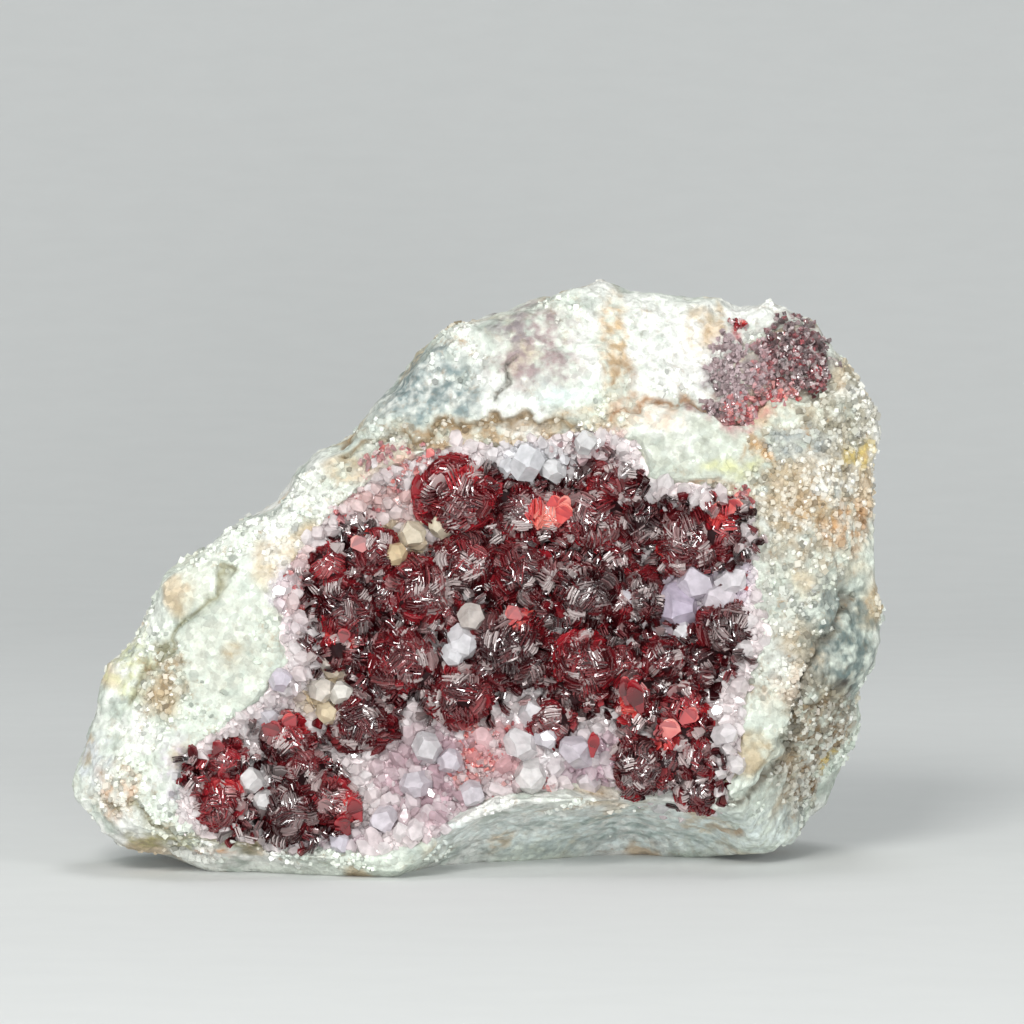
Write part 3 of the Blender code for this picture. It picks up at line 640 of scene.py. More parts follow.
grains_tree, given, result = new_tree(
    "scattered_grains",
    {
        "Grains per square metre": "Float", "Least size": "Float", "Largest size": "Float", "Seed": "Int",
        "Finish": "Material",
    },
)
coarse = add_node(
    grains_tree, "GeometryNodeInputNamedAttribute", {"data_type": "FLOAT"}, {"Name": "grain_cover"}
)
density = reckon(grains_tree, "MULTIPLY", given["Grains per square metre"], coarse.outputs[0])
scatter = add_node(
    grains_tree,
    "GeometryNodeDistributePointsOnFaces",
    inputs={"Mesh": given["Geometry"], "Density": density, "Seed": given["Seed"]},
)
rhomb = add_node(grains_tree, "GeometryNodeMeshCube", inputs={"Size": (0.8, 0.8, 0.8)})
splinter = add_node(grains_tree, "GeometryNodeMeshIcoSphere", inputs={"Radius": 0.55, "Subdivisions": 1})
rhomb_form = add_node(grains_tree, "GeometryNodeGeometryToInstance", inputs={0: rhomb.outputs["Mesh"]})
splinter_form = add_node(
    grains_tree, "GeometryNodeGeometryToInstance", inputs={0: splinter.outputs["Mesh"]}
)
forms = add_node(grains_tree, "GeometryNodeJoinGeometry")
grains_tree.links.new(rhomb_form.outputs[0], forms.inputs[0])
grains_tree.links.new(splinter_form.outputs[0], forms.inputs[0])
which = by_chance(grains_tree, 0, 1, 3, "INT")
size = by_chance(grains_tree, given["Least size"], given["Largest size"], 4)
stretch = by_chance(grains_tree, (0.7, 0.7, 0.7), (1.2, 1.2, 1.3), 5, "FLOAT_VECTOR")
scale = add_node(
    grains_tree,
    "ShaderNodeVectorMath",
    {"operation": "SCALE"},
    {0: stretch, "Scale": size},
)
turned = by_chance(grains_tree, (0, 0, 0), (6.28, 6.28, 6.28), 6, "FLOAT_VECTOR")
placed = add_node(
    grains_tree,
    "GeometryNodeInstanceOnPoints",
    inputs={
        "Points": scatter.outputs["Points"],
        "Instance": forms.outputs[0],
        "Pick Instance": True,
        "Instance Index": which,
        "Rotation": turned,
        "Scale": scale.outputs[0],
    },
)
shade = by_chance(grains_tree, 0.0, 1.0, 7)
shaded = add_node(
    grains_tree,
    "GeometryNodeStoreNamedAttribute",
    {"data_type": "FLOAT", "domain": "INSTANCE"},
    {"Geometry": placed.outputs[0], "Name": "grain_shade", "Value": shade},
)
real = add_node(grains_tree, "GeometryNodeRealizeInstances", inputs={"Geometry": shaded.outputs[0]})
finished = add_node(
    grains_tree,
    "GeometryNodeSetMaterial",
    inputs={"Geometry": real.outputs[0], "Material": given["Finish"]},
)
grains_tree.links.new(finished.outputs[0], result.inputs[0])

# Clean carbonate and quartz grains: paler than the ground under them and glassy, so they sparkle.
sugar = bpy.data.materials.new("sugary_carbonate_grains")
sugar.use_nodes = True
tree = sugar.node_tree
ground = add_node(tree, "ShaderNodeAttribute", {"attribute_name": "stone_colour"}).outputs["Color"]
shade_here = add_node(tree, "ShaderNodeAttribute", {"attribute_name": "grain_shade"}).outputs["Fac"]
whiten = add_node(tree, "ShaderNodeMapRange", inputs={"Value": shade_here, "From Min": 0.45, "To Max": 0.6})
whitened = mixed(tree, whiten.outputs[0], ground, linear("#e9eae2"))
darken = add_node(
    tree,
    "ShaderNodeMapRange",
    inputs={"Value": shade_here, "From Max": 0.35, "To Min": 0.42, "To Max": 1.0},
)
final_tone = mixed(tree, 1.0, whitened, darken.outputs[0], "MULTIPLY")
shader = tree.nodes["Principled BSDF"]
tree.links.new(final_tone, shader.inputs["Base Color"])
shader.inputs["Roughness"].default_value = 0.28
shader.inputs["IOR"].default_value = 1.60
shader.inputs["Transmission Weight"].default_value = 0.12

grains = new_object("host_rock_grains", rock.data.copy())
cover = np.clip((granular - COARSE_FROM) / COARSE_OVER, 0, 1)
cover *= np.where(points[:, 2] < lowest + BARE_FOOT, 0.0, 1.0)
cover *= np.where(facings[:, 1] < 0.0, 1.0, BACK_COVER)
cover *= np.array([0.0 if hollow_share(x, z) < 0.99 and y > face_y(z) + 1.2 else 1.0 for x, y, z in points])
store(grains.data, "grain_cover", "FLOAT", cover)
grow(
    grains,
    grains_tree,
    {
        "Grains per square metre": GRAINS_PER_MM2 / MM**2,
        "Least size": GRAIN_SIZES[0] * MM,
        "Largest size": GRAIN_SIZES[1] * MM,
        "Seed": 8,
        "Finish": sugar,
    },
)
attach(grains, "root")

# The quartz that lines the hollow: a milky bed, grown on the rock's wall, with a druse of six-sided
# crystals on it, clear to pale lilac and pink, and honey-coloured where iron got in. It takes the place
# of the quartz crust node.

QUARTZ_DEPTH, QUARTZ_INSET = 3.2, 1.3
QUARTZ_SECTION = [(0.0, 1.0), (0.42, 1.0), (0.78, 0.85), (0.93, 0.52), (1.0, 0.0), (9.0, 0.0)]
BED_THICK = 2.4
BED_SPOKES, BED_RINGS = 300, 84
BED_REACH = 1.035
LUMP_MIDDLE = 0.4
LUMPS = [(1.7, 0.75), (0.7, 0.35)]
QUARTZ_LILAC, QUARTZ_CLEAR, QUARTZ_HONEY = "#dbc9d8", "#f3eeef", "#ead4a8"

graph = bpy.context.evaluated_depsgraph_get()
rock_front = BVHTree.FromObject(rock, graph)
cx, cz = HOLLOW_CENTRE


def meeting_height(spoke, spokes):
    """How far the rock beside the hollow stands behind or in front of the plain face, along one spoke."""
    angle = math.tau * spoke / spokes
    reach = REACHES[round(spoke / spokes * REACH_STEPS) % REACH_STEPS]
    heights = []
    for beyond in (0.4, 0.9, 1.4):
        x = cx + math.cos(angle) * (reach + beyond)
        z = cz + math.sin(angle) * (reach + beyond)
        hit = rock_front.ray_cast(Vector((x, -60, z)) * MM, Vector((0, 1, 0)))[0]
        if hit:
            heights.append(hit.y / MM - face_y(z))
    heights.sort()
    return heights[len(heights) // 2] if heights else 0.0


MEETING = [meeting_height(spoke, BED_SPOKES) for spoke in range(BED_SPOKES)]


def bed_y(x, z):
    """How far back the quartz bed's surface lies at a place, in millimetres."""
    away = math.hypot(x - cx, z - cz)
    angle = math.atan2(z - cz, x - cx) / math.tau
    reach = REACHES[round(angle * REACH_STEPS) % REACH_STEPS]
    share = away / (reach - QUARTZ_INSET)
    for (inner, deep), (outer, less) in zip(QUARTZ_SECTION, QUARTZ_SECTION[1:]):
        if share < outer:
            behind = QUARTZ_DEPTH * (deep + (less - deep) * (share - inner) / (outer - inner))
            break
    turn = angle * BED_SPOKES
    low = math.floor(turn)
    near, far = MEETING[low % BED_SPOKES], MEETING[(low + 1) % BED_SPOKES]
    meeting = near + (far - near) * (turn - low)
    return face_y(z) + behind + (meeting + 0.25) * smooth(0.7, 1.0, away / reach)


bm = bmesh.new()
rings = []
for ring in range(1, BED_RINGS + 1):
    row = []
    for spoke in range(BED_SPOKES):
        angle = math.tau * spoke / BED_SPOKES
        reach = REACHES[round(spoke / BED_SPOKES * REACH_STEPS) % REACH_STEPS] * BED_REACH * ring / BED_RINGS
        x, z = cx + math.cos(angle) * reach, cz + math.sin(angle) * reach
        place = Vector((x, 0, z))
        lumps = sum(high * (LUMP_MIDDLE - noise.voronoi(place / size)[0][0]) for size, high in LUMPS)
        row.append(bm.verts.new(Vector((x, bed_y(x, z) - lumps, z)) * MM))
    rings.append(row)
back_row = [bm.verts.new(v.co + Vector((0, BED_THICK, 0)) * MM) for v in rings[-1]]
rings.append(back_row)
middle_front = bm.verts.new(Vector((cx, bed_y(cx, cz), cz)) * MM)
middle_back = bm.verts.new(Vector((cx, face_y(cz) + QUARTZ_DEPTH + BED_THICK, cz)) * MM)
for spoke in range(BED_SPOKES):
    beside = (spoke + 1) % BED_SPOKES
    for inner, outer in zip(rings, rings[1:]):
        bm.faces.new((inner[spoke], outer[spoke], outer[beside], inner[beside]))
    bm.faces.new((middle_front, rings[0][spoke], rings[0][beside]))
    bm.faces.new((middle_back, back_row[beside], back_row[spoke]))
bmesh.ops.recalc_face_normals(bm, faces=bm.faces)
bed_mesh = bpy.data.meshes.new("quartz_bed")
bm.to_mesh(bed_mesh)
bm.free()
bed = new_object("quartz_bed", bed_mesh)

# Where the quartz takes colour: lilac, honey or clear white, and how strong.
QUARTZ_ZONES = {
    "lilac_right": ((17.4, 22.6), (3.6, 3.2), QUARTZ_LILAC, 1.0),
    "lilac_corner": ((20.4, 24.2), (2.0, 2.4), "#e6d8e6", 0.9),
    "lilac_upper_left": ((-15.8, 23.6), (1.6, 3.0), "#ecdde2", 0.9),
    "lilac_left": ((-17.2, 15.4), (2.4, 2.6), "#ecdee0", 0.9),
    "honey_left": ((-12.8, 15.2), (2.0, 2.2), QUARTZ_HONEY, 0.85),
    "honey_upper": ((-6.6, 27.8), (2.2, 1.8), QUARTZ_HONEY, 0.9),
    "honey_top": ((-3.8, 29.8), (1.8, 1.2), QUARTZ_HONEY, 0.8),
    "yellow_middle": ((-0.6, 21.2), (1.0, 1.2), "#e8dcb8", 0.6),
    "clear_middle": ((4.6, 11.2), (3.0, 3.6), QUARTZ_CLEAR, 0.9),
    "clear_top": ((4.2, 34.2), (3.0, 1.8), "#eef0f4", 0.9),
    "lilac_low": ((-3.6, 8.2), (4.8, 4.4), "#c9a9b2", 0.95),
    "lilac_low_left": ((-12.0, 3.4), (4.0, 1.2), "#dcc7ce", 0.9),
    "clear_low": ((1.6, 8.2), (3.0, 2.0), "#ddc5c7", 0.8),
    "clear_right": ((13.6, 6.0), (4.0, 1.6), "#d3bcc0", 0.9),
    "lilac_low_right": ((9.4, 9.2), (2.6, 2.6), "#cbabb8", 0.9),
    "pink_stain": ((1.6, 10.6), (2.6, 2.2), "#e5a9ac", 0.7),
    "coral_stain": ((-0.6, 8.8), (1.2, 1.2), "#e08a84", 0.6),
    "white_left": ((-19.4, 7.2), (2.4, 2.0), "#f4efee", 0.9),
    "hazy_red_top": ((9.8, 34.4), (1.4, 1.4), "#c99098", 0.7),
    "pink_upper_left": ((-8.2, 30.6), (3.4, 1.4), "#e2b4ae", 0.7),
    "pink_rim_left": ((-14.6, 24.8), (1.4, 3.6), "#e3b9b4", 0.5),
}


def quartz_colours(places):
    """The quartz's colour at each place, from the zones over a pale ground."""
    warped = warp_places(places)
    colours = np.tile(np.array(linear("#f0e4e4")), (len(places), 1))
    for middle, half, colour, strength in QUARTZ_ZONES.values():
        share = (zone_share(warped, middle, half) * strength)[:, None]
        colours = colours * (1 - share) + np.array(linear(colour)) * share
    return colours


store(bed.data, "quartz_colour", "FLOAT_COLOR", quartz_colours(positions(bed.data) / MM))

# Wendwilsonite takes these places in the quartz: x, z and radius of each rosette, by cluster.
ROSETTES = {
    "wendwilsonite_main_cluster": [
        (-1.8, 31.1, 3.5), (3.3, 30.1, 2.7), (6.3, 29.9, 2.2), (9.6, 29.5, 3.0), (-1.2, 25.8, 2.9),
        (-5.1, 23.6, 3.0), (-11.4, 21.8, 2.9), (-12.8, 25.7, 2.1), (-8.8, 26.5, 2.4), (-6.6, 17.7, 3.1),
        (-9.7, 12.8, 2.9), (-1.8, 14.7, 2.8), (2.5, 18.8, 3.4), (3.7, 24.7, 3.0), (8.8, 23.1, 3.2),
        (8.8, 17.3, 3.1), (6.0, 12.7, 2.2), (11.4, 25.9, 1.8), (17.4, 27.8, 3.2), (20.4, 28.6, 2.1),
        (13.8, 22.9, 2.3), (15.4, 17.6, 2.3), (13.0, 15.2, 2.3), (16.9, 13.8, 2.2), (-12.0, 18.6, 1.9),
        (10.8, 32.4, 2.1), (20.4, 20.4, 2.6), (13.2, 8.9, 2.6), (17.9, 9.6, 2.2), (18.2, 7.0, 2.0),
        (13.6, 29.4, 2.5), (18.5, 17.5, 2.1), (17.2, 11.7, 1.6), (-10.7, 26.4, 1.6), (-8.4, 15.2, 1.7),
        (-4.4, 16.4, 1.8), (0.2, 16.9, 1.8), (7.4, 14.8, 1.7), (3.0, 21.8, 1.7), (-8.3, 22.9, 1.7),
        (11.6, 17.6, 1.9), (11.3, 22.6, 2.0), (15.6, 9.4, 1.7), (-2.6, 21.6, 1.7), (15.0, 15.4, 1.8),
        (6.2, 24.4, 1.9), (10.6, 27.6, 1.7), (5.8, 18.4, 1.8),
    ],
    "wendwilsonite_lower_left_cluster": [
        (-15.9, 11.2, 2.4), (-14.6, 8.8, 2.2), (-21.4, 9.6, 2.1), (-21.7, 6.2, 2.6), (-15.9, 5.3, 3.0),
        (-12.2, 6.2, 2.4), (-18.9, 6.2, 1.6),
    ],
    "wendwilsonite_upper_right_patch": [
        (25.8, 43.2, 2.6), (22.0, 41.3, 2.4), (21.2, 39.0, 1.5), (27.2, 41.4, 1.8), (23.6, 43.3, 1.6),
    ],
}
HELD_BY_ROSETTE = 0.8


def crystal_form(number, heights):
    """A six-sided crystal of unit radius: a prism, and a point cut by six faces at unlike heights."""
    bm = bmesh.new()
    bmesh.ops.create_cone(bm, cap_ends=True, segments=6, radius1=1.0, radius2=1.0, depth=4.0)
    bmesh.ops.translate(bm, verts=bm.verts, vec=(0, 0, 0.8))
    slope = math.radians(51.8)
    for side, height in enumerate(heights):
        turn = math.radians(30 + 60 * side)
        facing = Vector(
            (math.cos(turn) * math.sin(slope), math.sin(turn) * math.sin(slope), math.cos(slope))
        )
        cut = bmesh.ops.bisect_plane(
            bm,
            geom=bm.verts[:] + bm.edges[:] + bm.faces[:],
            plane_co=facing * height,
            plane_no=facing,
            clear_outer=True,
        )
        rim = [edge for edge in cut["geom_cut"] if isinstance(edge, bmesh.types.BMEdge)]
        bmesh.ops.holes_fill(bm, edges=rim, sides=0)
    bmesh.ops.recalc_face_normals(bm, faces=bm.faces)
    form_mesh = bpy.data.meshes.new(f"crystal_form_{number}")
    bm.to_mesh(form_mesh)
    bm.free()
    return bpy.data.objects.new(form_mesh.name, form_mesh)


crystal_forms = bpy.data.collections.new("crystal_forms")
CRYSTAL_HEIGHTS = [
    (0.95, 1.15, 0.92, 1.20, 0.97, 1.10),
    (0.90, 1.00, 1.10, 0.92, 1.02, 1.15),
    (1.00, 1.02, 0.98, 1.00, 1.04, 0.99),
    (0.86, 1.25, 1.20, 0.95, 1.30, 1.05),
]
for number, heights in enumerate(CRYSTAL_HEIGHTS):
    crystal_forms.objects.link(crystal_form(number, heights))

druse_tree, given, result = new_tree(
    "druse_of_crystals",
    {
        "Spacing": "Float", "Crystals per square metre": "Float", "Least radius": "Float",
        "Largest radius": "Float",
        "Lean": "Float", "Seed": "Int", "Forms": "Collection", "Finish": "Material",
    },
)
open_quartz = add_node(
    druse_tree, "GeometryNodeInputNamedAttribute", {"data_type": "FLOAT"}, {"Name": "open_quartz"}
)
scatter = add_node(
    druse_tree,
    "GeometryNodeDistributePointsOnFaces",
    {"distribute_method": "POISSON"},
    {
        "Mesh": given["Geometry"],
        "Distance Min": given["Spacing"],
        "Density Max": given["Crystals per square metre"],
        "Density Factor": open_quartz.outputs[0],
        "Seed": given["Seed"],
    },
)
form = add_node(
    druse_tree,
    "GeometryNodeCollectionInfo",
    inputs={"Collection": given["Forms"], "Separate Children": True, "Reset Children": True},
)
size = by_chance(druse_tree, given["Least radius"], given["Largest radius"], 1)
stretch = by_chance(druse_tree, (0.8, 0.8, 0.8), (1.15, 1.15, 1.35), 2, "FLOAT_VECTOR")
scale = add_node(
    druse_tree,
    "ShaderNodeVectorMath",
    {"operation": "SCALE"},
    {0: stretch, "Scale": size},
)
less_lean = reckon(druse_tree, "MULTIPLY", given["Lean"], -1.0)
lean_x = by_chance(druse_tree, less_lean, given["Lean"], 3)
lean_y = by_chance(druse_tree, less_lean, given["Lean"], 4)
spin = by_chance(druse_tree, 0.0, 6.28, 5)
leaning = add_node(
    druse_tree,
    "ShaderNodeCombineXYZ",
    inputs={0: lean_x, 1: lean_y, 2: spin},
)
leaned = add_node(
    druse_tree,
    "FunctionNodeRotateRotation",
    {"rotation_space": "LOCAL"},
    {0: scatter.outputs["Rotation"], 1: leaning.outputs[0]},
)
placed = add_node(
    druse_tree,
    "GeometryNodeInstanceOnPoints",
    inputs={
        "Points": scatter.outputs["Points"],
        "Instance": form.outputs[0],
        "Pick Instance": True,
        "Rotation": leaned.outputs[0],
        "Scale": scale.outputs[0],
    },
)
tint = by_chance(druse_tree, 0.0, 1.0, 6)
tinted = add_node(
    druse_tree,
    "GeometryNodeStoreNamedAttribute",
    {"data_type": "FLOAT", "domain": "INSTANCE"},
    {"Geometry": placed.outputs[0], "Name": "crystal_shade", "Value": tint},
)
real = add_node(druse_tree, "GeometryNodeRealizeInstances", inputs={"Geometry": tinted.outputs[0]})
finished = add_node(
    druse_tree, "GeometryNodeSetMaterial", inputs={"Geometry": real.outputs[0], "Material": given["Finish"]}
)
druse_tree.links.new(finished.outputs[0], result.inputs[0])


def quartz_finish(name, clear, rough):
    """Quartz: glassy and see-through in its points, milky at the foot, tinted crystal by crystal."""
    made = bpy.data.materials.new(name)
    made.use_nodes = True
    tree = made.node_tree
    own_place = add_node(tree, "ShaderNodeTexCoord").outputs["Object"]
    colour = add_node(tree, "ShaderNodeAttribute", {"attribute_name": "quartz_colour"}).outputs["Color"]
    shade = add_node(tree, "ShaderNodeAttribute", {"attribute_name": "crystal_shade"}).outputs["Fac"]
    # Some crystals are made whiter by chance: part milky quartz, part painted highlight for white facets.
    milky_and_glint_share = add_node(tree, "ShaderNodeMapRange", inputs={"Value": shade, "From Min": 0.3, "To Max": 0.72})
    whitened = mixed(tree, milky_and_glint_share.outputs[0], colour, linear("#faf5f5"))
    veils = add_node(
        tree, "ShaderNodeTexNoise", inputs={"Vector": own_place, "Scale": across(0.8), "Detail": 4.0}
    )
    veil_tone = add_node(
        tree,
        "ShaderNodeMapRange",
        inputs={
            "Value": veils.outputs["Fac"], "From Min": 0.38, "From Max": 0.62, "To Min": 0.76, "To Max": 1.0
        },
    )
    veiled = mixed(tree, 1.0, whitened, veil_tone.outputs[0], "MULTIPLY")
    etch = add_node(
        tree, "ShaderNodeTexNoise", inputs={"Vector": own_place, "Scale": across(0.35), "Detail": 3.0}
    )
    etched = add_node(
        tree,
        "ShaderNodeBump",
        inputs={"Height": etch.outputs["Fac"], "Strength": 0.05, "Distance": 0.1 * MM},
    )
    shader = tree.nodes["Principled BSDF"]
    tree.links.new(veiled, shader.inputs["Base Color"])
    tree.links.new(etched.outputs[0], shader.inputs["Normal"])
    shader.inputs["Transmission Weight"].default_value = clear
    shader.inputs["Roughness"].default_value = rough
    shader.inputs["IOR"].default_value = 1.544
    return made


milky = quartz_finish("milky_quartz", 0.05, 0.15)
cloudy = quartz_finish("cloudy_quartz", 0.35, 0.05)
glassy = quartz_finish("glassy_quartz", 0.4, 0.02)
bed.data.materials.append(milky)


def clear_of_rosettes(x, z):
    """1 where quartz shows, and little under the rosettes, where it is hidden."""
    nearest = min(math.hypot(x - a, z - b) / r for members in ROSETTES.values() for a, b, r in members)
    return 0.12 + 0.88 * smooth(0.6, HELD_BY_ROSETTE, nearest)


DRUSES = {
    # name: spacing, crystals a square millimetre, radii, lean, seed
    "quartz_crystals": (0.85, 3.0, (0.38, 0.80), 0.65, 21),
    "quartz_small_crystals": (0.42, 9.0, (0.16, 0.36), 0.9, 22),
}
bed_places = positions(bed.data) / MM
showing = []
for x, y, z in bed_places:
    on_front = y < bed_y(x, z) + 1.0 and hollow_share(x, z) < 1.0
    showing.append(clear_of_rosettes(x, z) if on_front else 0.0)
druses = []
for name, (spacing, per_mm2, radii, lean, seed) in DRUSES.items():
    druse = new_object(name, bed.data.copy())
    store(druse.data, "open_quartz", "FLOAT", showing)
    grow(
        druse,
        druse_tree,
        {
            "Spacing": spacing * MM,
            "Crystals per square metre": per_mm2 / MM**2,
            "Least radius": radii[0] * MM,
            "Largest radius": radii[1] * MM,
            "Lean": lean,
            "Seed": seed,
            "Forms": crystal_forms,
            "Finish": cloudy,
        },
    )
    druses.append(druse)

# The crystals that stand out: x, z, radius, lean to the right, lean up, spin, rise, colour, in that order.
LARGE_CRYSTALS = [
    (12.2, 22.9, 1.0, 0.2, 0.1, 0.3, 0.9, "#d6cadd"),
    (16.4, 22.2, 1.8, -0.2, 0.3, 0.1, 0.7, "#cfc0d8"),
    (17.9, 24.2, 1.5, 0.3, 0.2, 0.5, 0.7, "#dccfe0"),
    (19.9, 22.9, 1.4, 0.1, -0.2, 0.9, 0.9, "#e6d6e4"),
    (21.0, 24.6, 1.1, 0.5, 0.3, 0.2, 0.6, "#e8dce8"),
    (16.8, 20.2, 0.8, 0.0, -0.3, 0.7, 1.3, "#efeaf2"),
    (-0.7, 21.4, 1.2, -0.1, 0.1, 0.4, 1.9, "#e3d6cc"),
    (-1.4, 19.2, 1.3, 0.2, -0.4, 0.2, 1.8, "#dedbe6"),
    (-2.2, 18.2, 0.9, 0.3, -0.5, 0.8, 2.1, "#e9e8ee"),
    (3.3, 10.9, 1.3, -0.2, 0.1, 0.2, 1.2, "#f3eff0"),
    (4.4, 13.6, 1.0, 0.3, 0.2, 0.6, 1.0, "#e2d8e4"),
    (5.6, 11.4, 0.9, 0.4, -0.1, 0.1, 1.1, "#efe9f2"),
    (4.2, 8.2, 1.3, 0.0, -0.3, 0.5, 1.1, "#f5f1ee"),
    (8.0, 10.4, 1.3, -0.3, 0.2, 0.8, 1.0, "#ddd0de"),
    (9.0, 7.6, 1.1, 0.2, -0.2, 0.3, 1.0, "#eedfe4"),
    (4.0, 34.4, 1.4, 0.3, 0.4, 0.4, 0.9, "#eceef4"),
    (5.9, 33.6, 1.0, -0.4, 0.2, 0.2, 1.0, "#f3f4f6"),
    (2.4, 33.8, 0.9, 0.1, 0.5, 0.7, 1.0, "#dfe2ea"),
    (8.8, 36.0, 0.9, 0.1, 0.2, 0.3, 1.0, "#f5f5f5"),
    (-5.6, 28.3, 1.1, 0.2, 0.1, 0.5, 1.6, "#f2dfb6"),
    (-3.4, 29.0, 0.9, -0.2, 0.3, 0.1, 1.6, "#f3e2bb"),
    (-7.0, 26.6, 1.0, 0.3, -0.2, 0.6, 1.6, "#e6c890"),
    (-11.5, 15.3, 0.9, 0.3, 0.3, 0.4, 1.6, "#f6efdc"),
    (-13.2, 15.4, 1.1, -0.2, 0.1, 0.2, 1.1, "#ecd2a0"),
    (-12.6, 13.4, 0.9, 0.2, -0.3, 0.9, 1.3, "#f0dbb0"),
    (-4.4, 10.6, 1.3, -0.1, 0.2, 0.5, 1.0, "#d6ccd8"),
    (-2.4, 9.6, 1.0, 0.3, 0.1, 0.2, 1.0, "#d9cedb"),
    (-5.4, 7.6, 1.2, -0.3, -0.1, 0.7, 0.9, "#d8ccd9"),
    (-0.6, 6.8, 1.0, 0.1, -0.3, 0.3, 0.8, "#e4dce5"),
    (-8.0, 4.6, 1.1, -0.2, -0.3, 0.6, 0.8, "#e2d8e3"),
    (-11.6, 2.9, 0.9, 0.1, -0.4, 0.1, 0.6, "#e6dfec"),
    (-19.0, 8.0, 1.1, 0.3, 0.1, 0.2, 1.4, "#f4efee"),
    (-18.0, 6.4, 0.8, -0.2, -0.2, 0.5, 1.6, "#f7f3f0"),
    (-17.6, 13.2, 1.0, -0.3, 0.2, 0.8, 0.8, "#d9d2de"),
    (-16.4, 16.6, 0.9, 0.2, 0.3, 0.3, 0.7, "#ddd3e2"),
    (11.4, 5.8, 1.0, 0.2, -0.3, 0.4, 0.8, "#ece7ee"),
    (15.2, 5.5, 0.9, -0.2, -0.2, 0.2, 0.8, "#f0ecee"),
    (20.4, 12.0, 0.9, 0.4, 0.1, 0.5, 0.9, "#efe8ea"),
    (21.2, 9.4, 0.8, 0.3, -0.1, 0.1, 0.8, "#eee6e6"),
]
LARGE_LEAN, LARGE_SEED = 1.7, 4
bm = bmesh.new()
large_colours = []
rng = random.Random(LARGE_SEED)
for x, z, radius, right, up, spin, rise, colour in LARGE_CRYSTALS:
    source = bmesh.new()
    source.from_mesh(crystal_forms.objects[rng.randrange(len(CRYSTAL_HEIGHTS))].data)
    scale = Matrix.Diagonal((radius * MM, radius * MM, radius * rng.uniform(0.75, 1.0) * MM)).to_4x4()
    facing = Vector((LARGE_LEAN * right, -1, LARGE_LEAN * up + FACE_LEAN))
    aim = facing.to_track_quat("Z", "Y").to_matrix().to_4x4()
    place = Vector((x, bed_y(x, z) - rise, z)) * MM
    matrix = Matrix.Translation(place) @ aim @ Matrix.Rotation(spin, 4, "Z") @ scale
    source.transform(matrix)
    kept = bpy.data.meshes.new("one_crystal")
    source.to_mesh(kept)
    source.free()
    paler = Vector(linear(colour)).lerp(Vector(linear("#fdfbfb")), rng.uniform(0.15, 0.75))
    large_colours += [paler] * len(kept.vertices)
    bm.from_mesh(kept)
    bpy.data.meshes.remove(kept)
large_mesh = bpy.data.meshes.new("quartz_large_crystals")
bm.to_mesh(large_mesh)
bm.free()
store(large_mesh, "quartz_colour", "FLOAT_COLOR", large_colours)
large_mesh.materials.append(glassy)
large = new_object("quartz_large_crystals", large_mesh)
for form_object in list(crystal_forms.objects):
    bpy.data.objects.remove(form_object)
bpy.data.collections.remove(crystal_forms)
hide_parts("quartz_crust")
for piece in (bed, *druses, large):
    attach(piece, "root")

# The wendwilsonite: three groups of rosettes, each a ball of thin blades that grew outward from one
# point in stacks of parallel leaves. The blades are dark maroon where they are thick and cherry red
# where light comes through their ends. Each group takes the place of its cluster node.

CLUSTER_LIFT = {
    "wendwilsonite_main_cluster": 0.16,
    "wendwilsonite_lower_left_cluster": 0.14,
}
BLADE_THICK, LEAF_STEP, LEAF_FAN = 0.11, 0.06, 0.045
BLADE_WIDTHS = (0.30, 0.62)
LEAVES, SMALL_LEAVES = 7, 4
BLADE_TRIANGLES = 12
MOST_TRIANGLES = 190000
CORE_SHARE = 0.82
STACKS_PER_MM2 = 2.7
FLATTEN, BULGE, BULGE_DETAIL, BULGE_APART = 0.78, 0.30, 1.4, 3.1
FILLING = {"wendwilsonite_main_cluster": 900, "wendwilsonite_lower_left_cluster": 120}


# The heart of a rosette, where the blades are grown together: dull, and painted near black as the shade
# that fills the gaps between the blades.
heart_and_gap_shade = bpy.data.materials.new("rosette_heart")
heart_and_gap_shade.use_nodes = True
tree = heart_and_gap_shade.node_tree
heart_grain = add_node(
    tree,
    "ShaderNodeTexNoise",
    inputs={
        "Vector": add_node(tree, "ShaderNodeTexCoord").outputs["Object"], "Scale": across(0.4),
        "Detail": 3.0,
    },
)
heart_and_gap_shade_tone = mixed(tree, heart_grain.outputs["Fac"], linear("#0c0203"), linear("#2c0a0f"))
tree.links.new(heart_and_gap_shade_tone, tree.nodes["Principled BSDF"].inputs["Base Color"])
tree.nodes["Principled BSDF"].inputs["Roughness"].default_value = 0.7
tree.nodes["Principled BSDF"].inputs["Specular IOR Level"].default_value = 0.2


def blade_form(number, ends):
    """A thin blade of unit length, width and thickness: an edge at its root, and a rounded, uneven end."""
    bm = bmesh.new()
    root = [bm.verts.new((x, 0.0, 0.0)) for x in (-0.2, 0.2)]
    sides = []
    for y, heights in zip((-0.5, 0.5), ends):
        sides.append([bm.verts.new((x, y, z)) for x, z in zip((-0.5, 0.04, 0.5), heights)])
    front, back = sides
    bm.faces.new((root[0], root[1], front[2], front[1], front[0]))
    bm.faces.new((root[1], root[0], back[0], back[1], back[2]))
    bm.faces.new((root[1], back[2], front[2]))
    bm.faces.new((root[0], front[0], back[0]))
    bm.faces.new((front[0], front[1], back[1], back[0]))
    bm.faces.new((front[1], front[2], back[2], back[1]))
    bmesh.ops.recalc_face_normals(bm, faces=bm.faces)
    form_mesh = bpy.data.meshes.new(f"blade_form_{number}")
    bm.to_mesh(form_mesh)
    bm.free()
    store(form_mesh, "along", "FLOAT", [vertex.co.z for vertex in form_mesh.vertices])
    return bpy.data.objects.new(form_mesh.name, form_mesh)


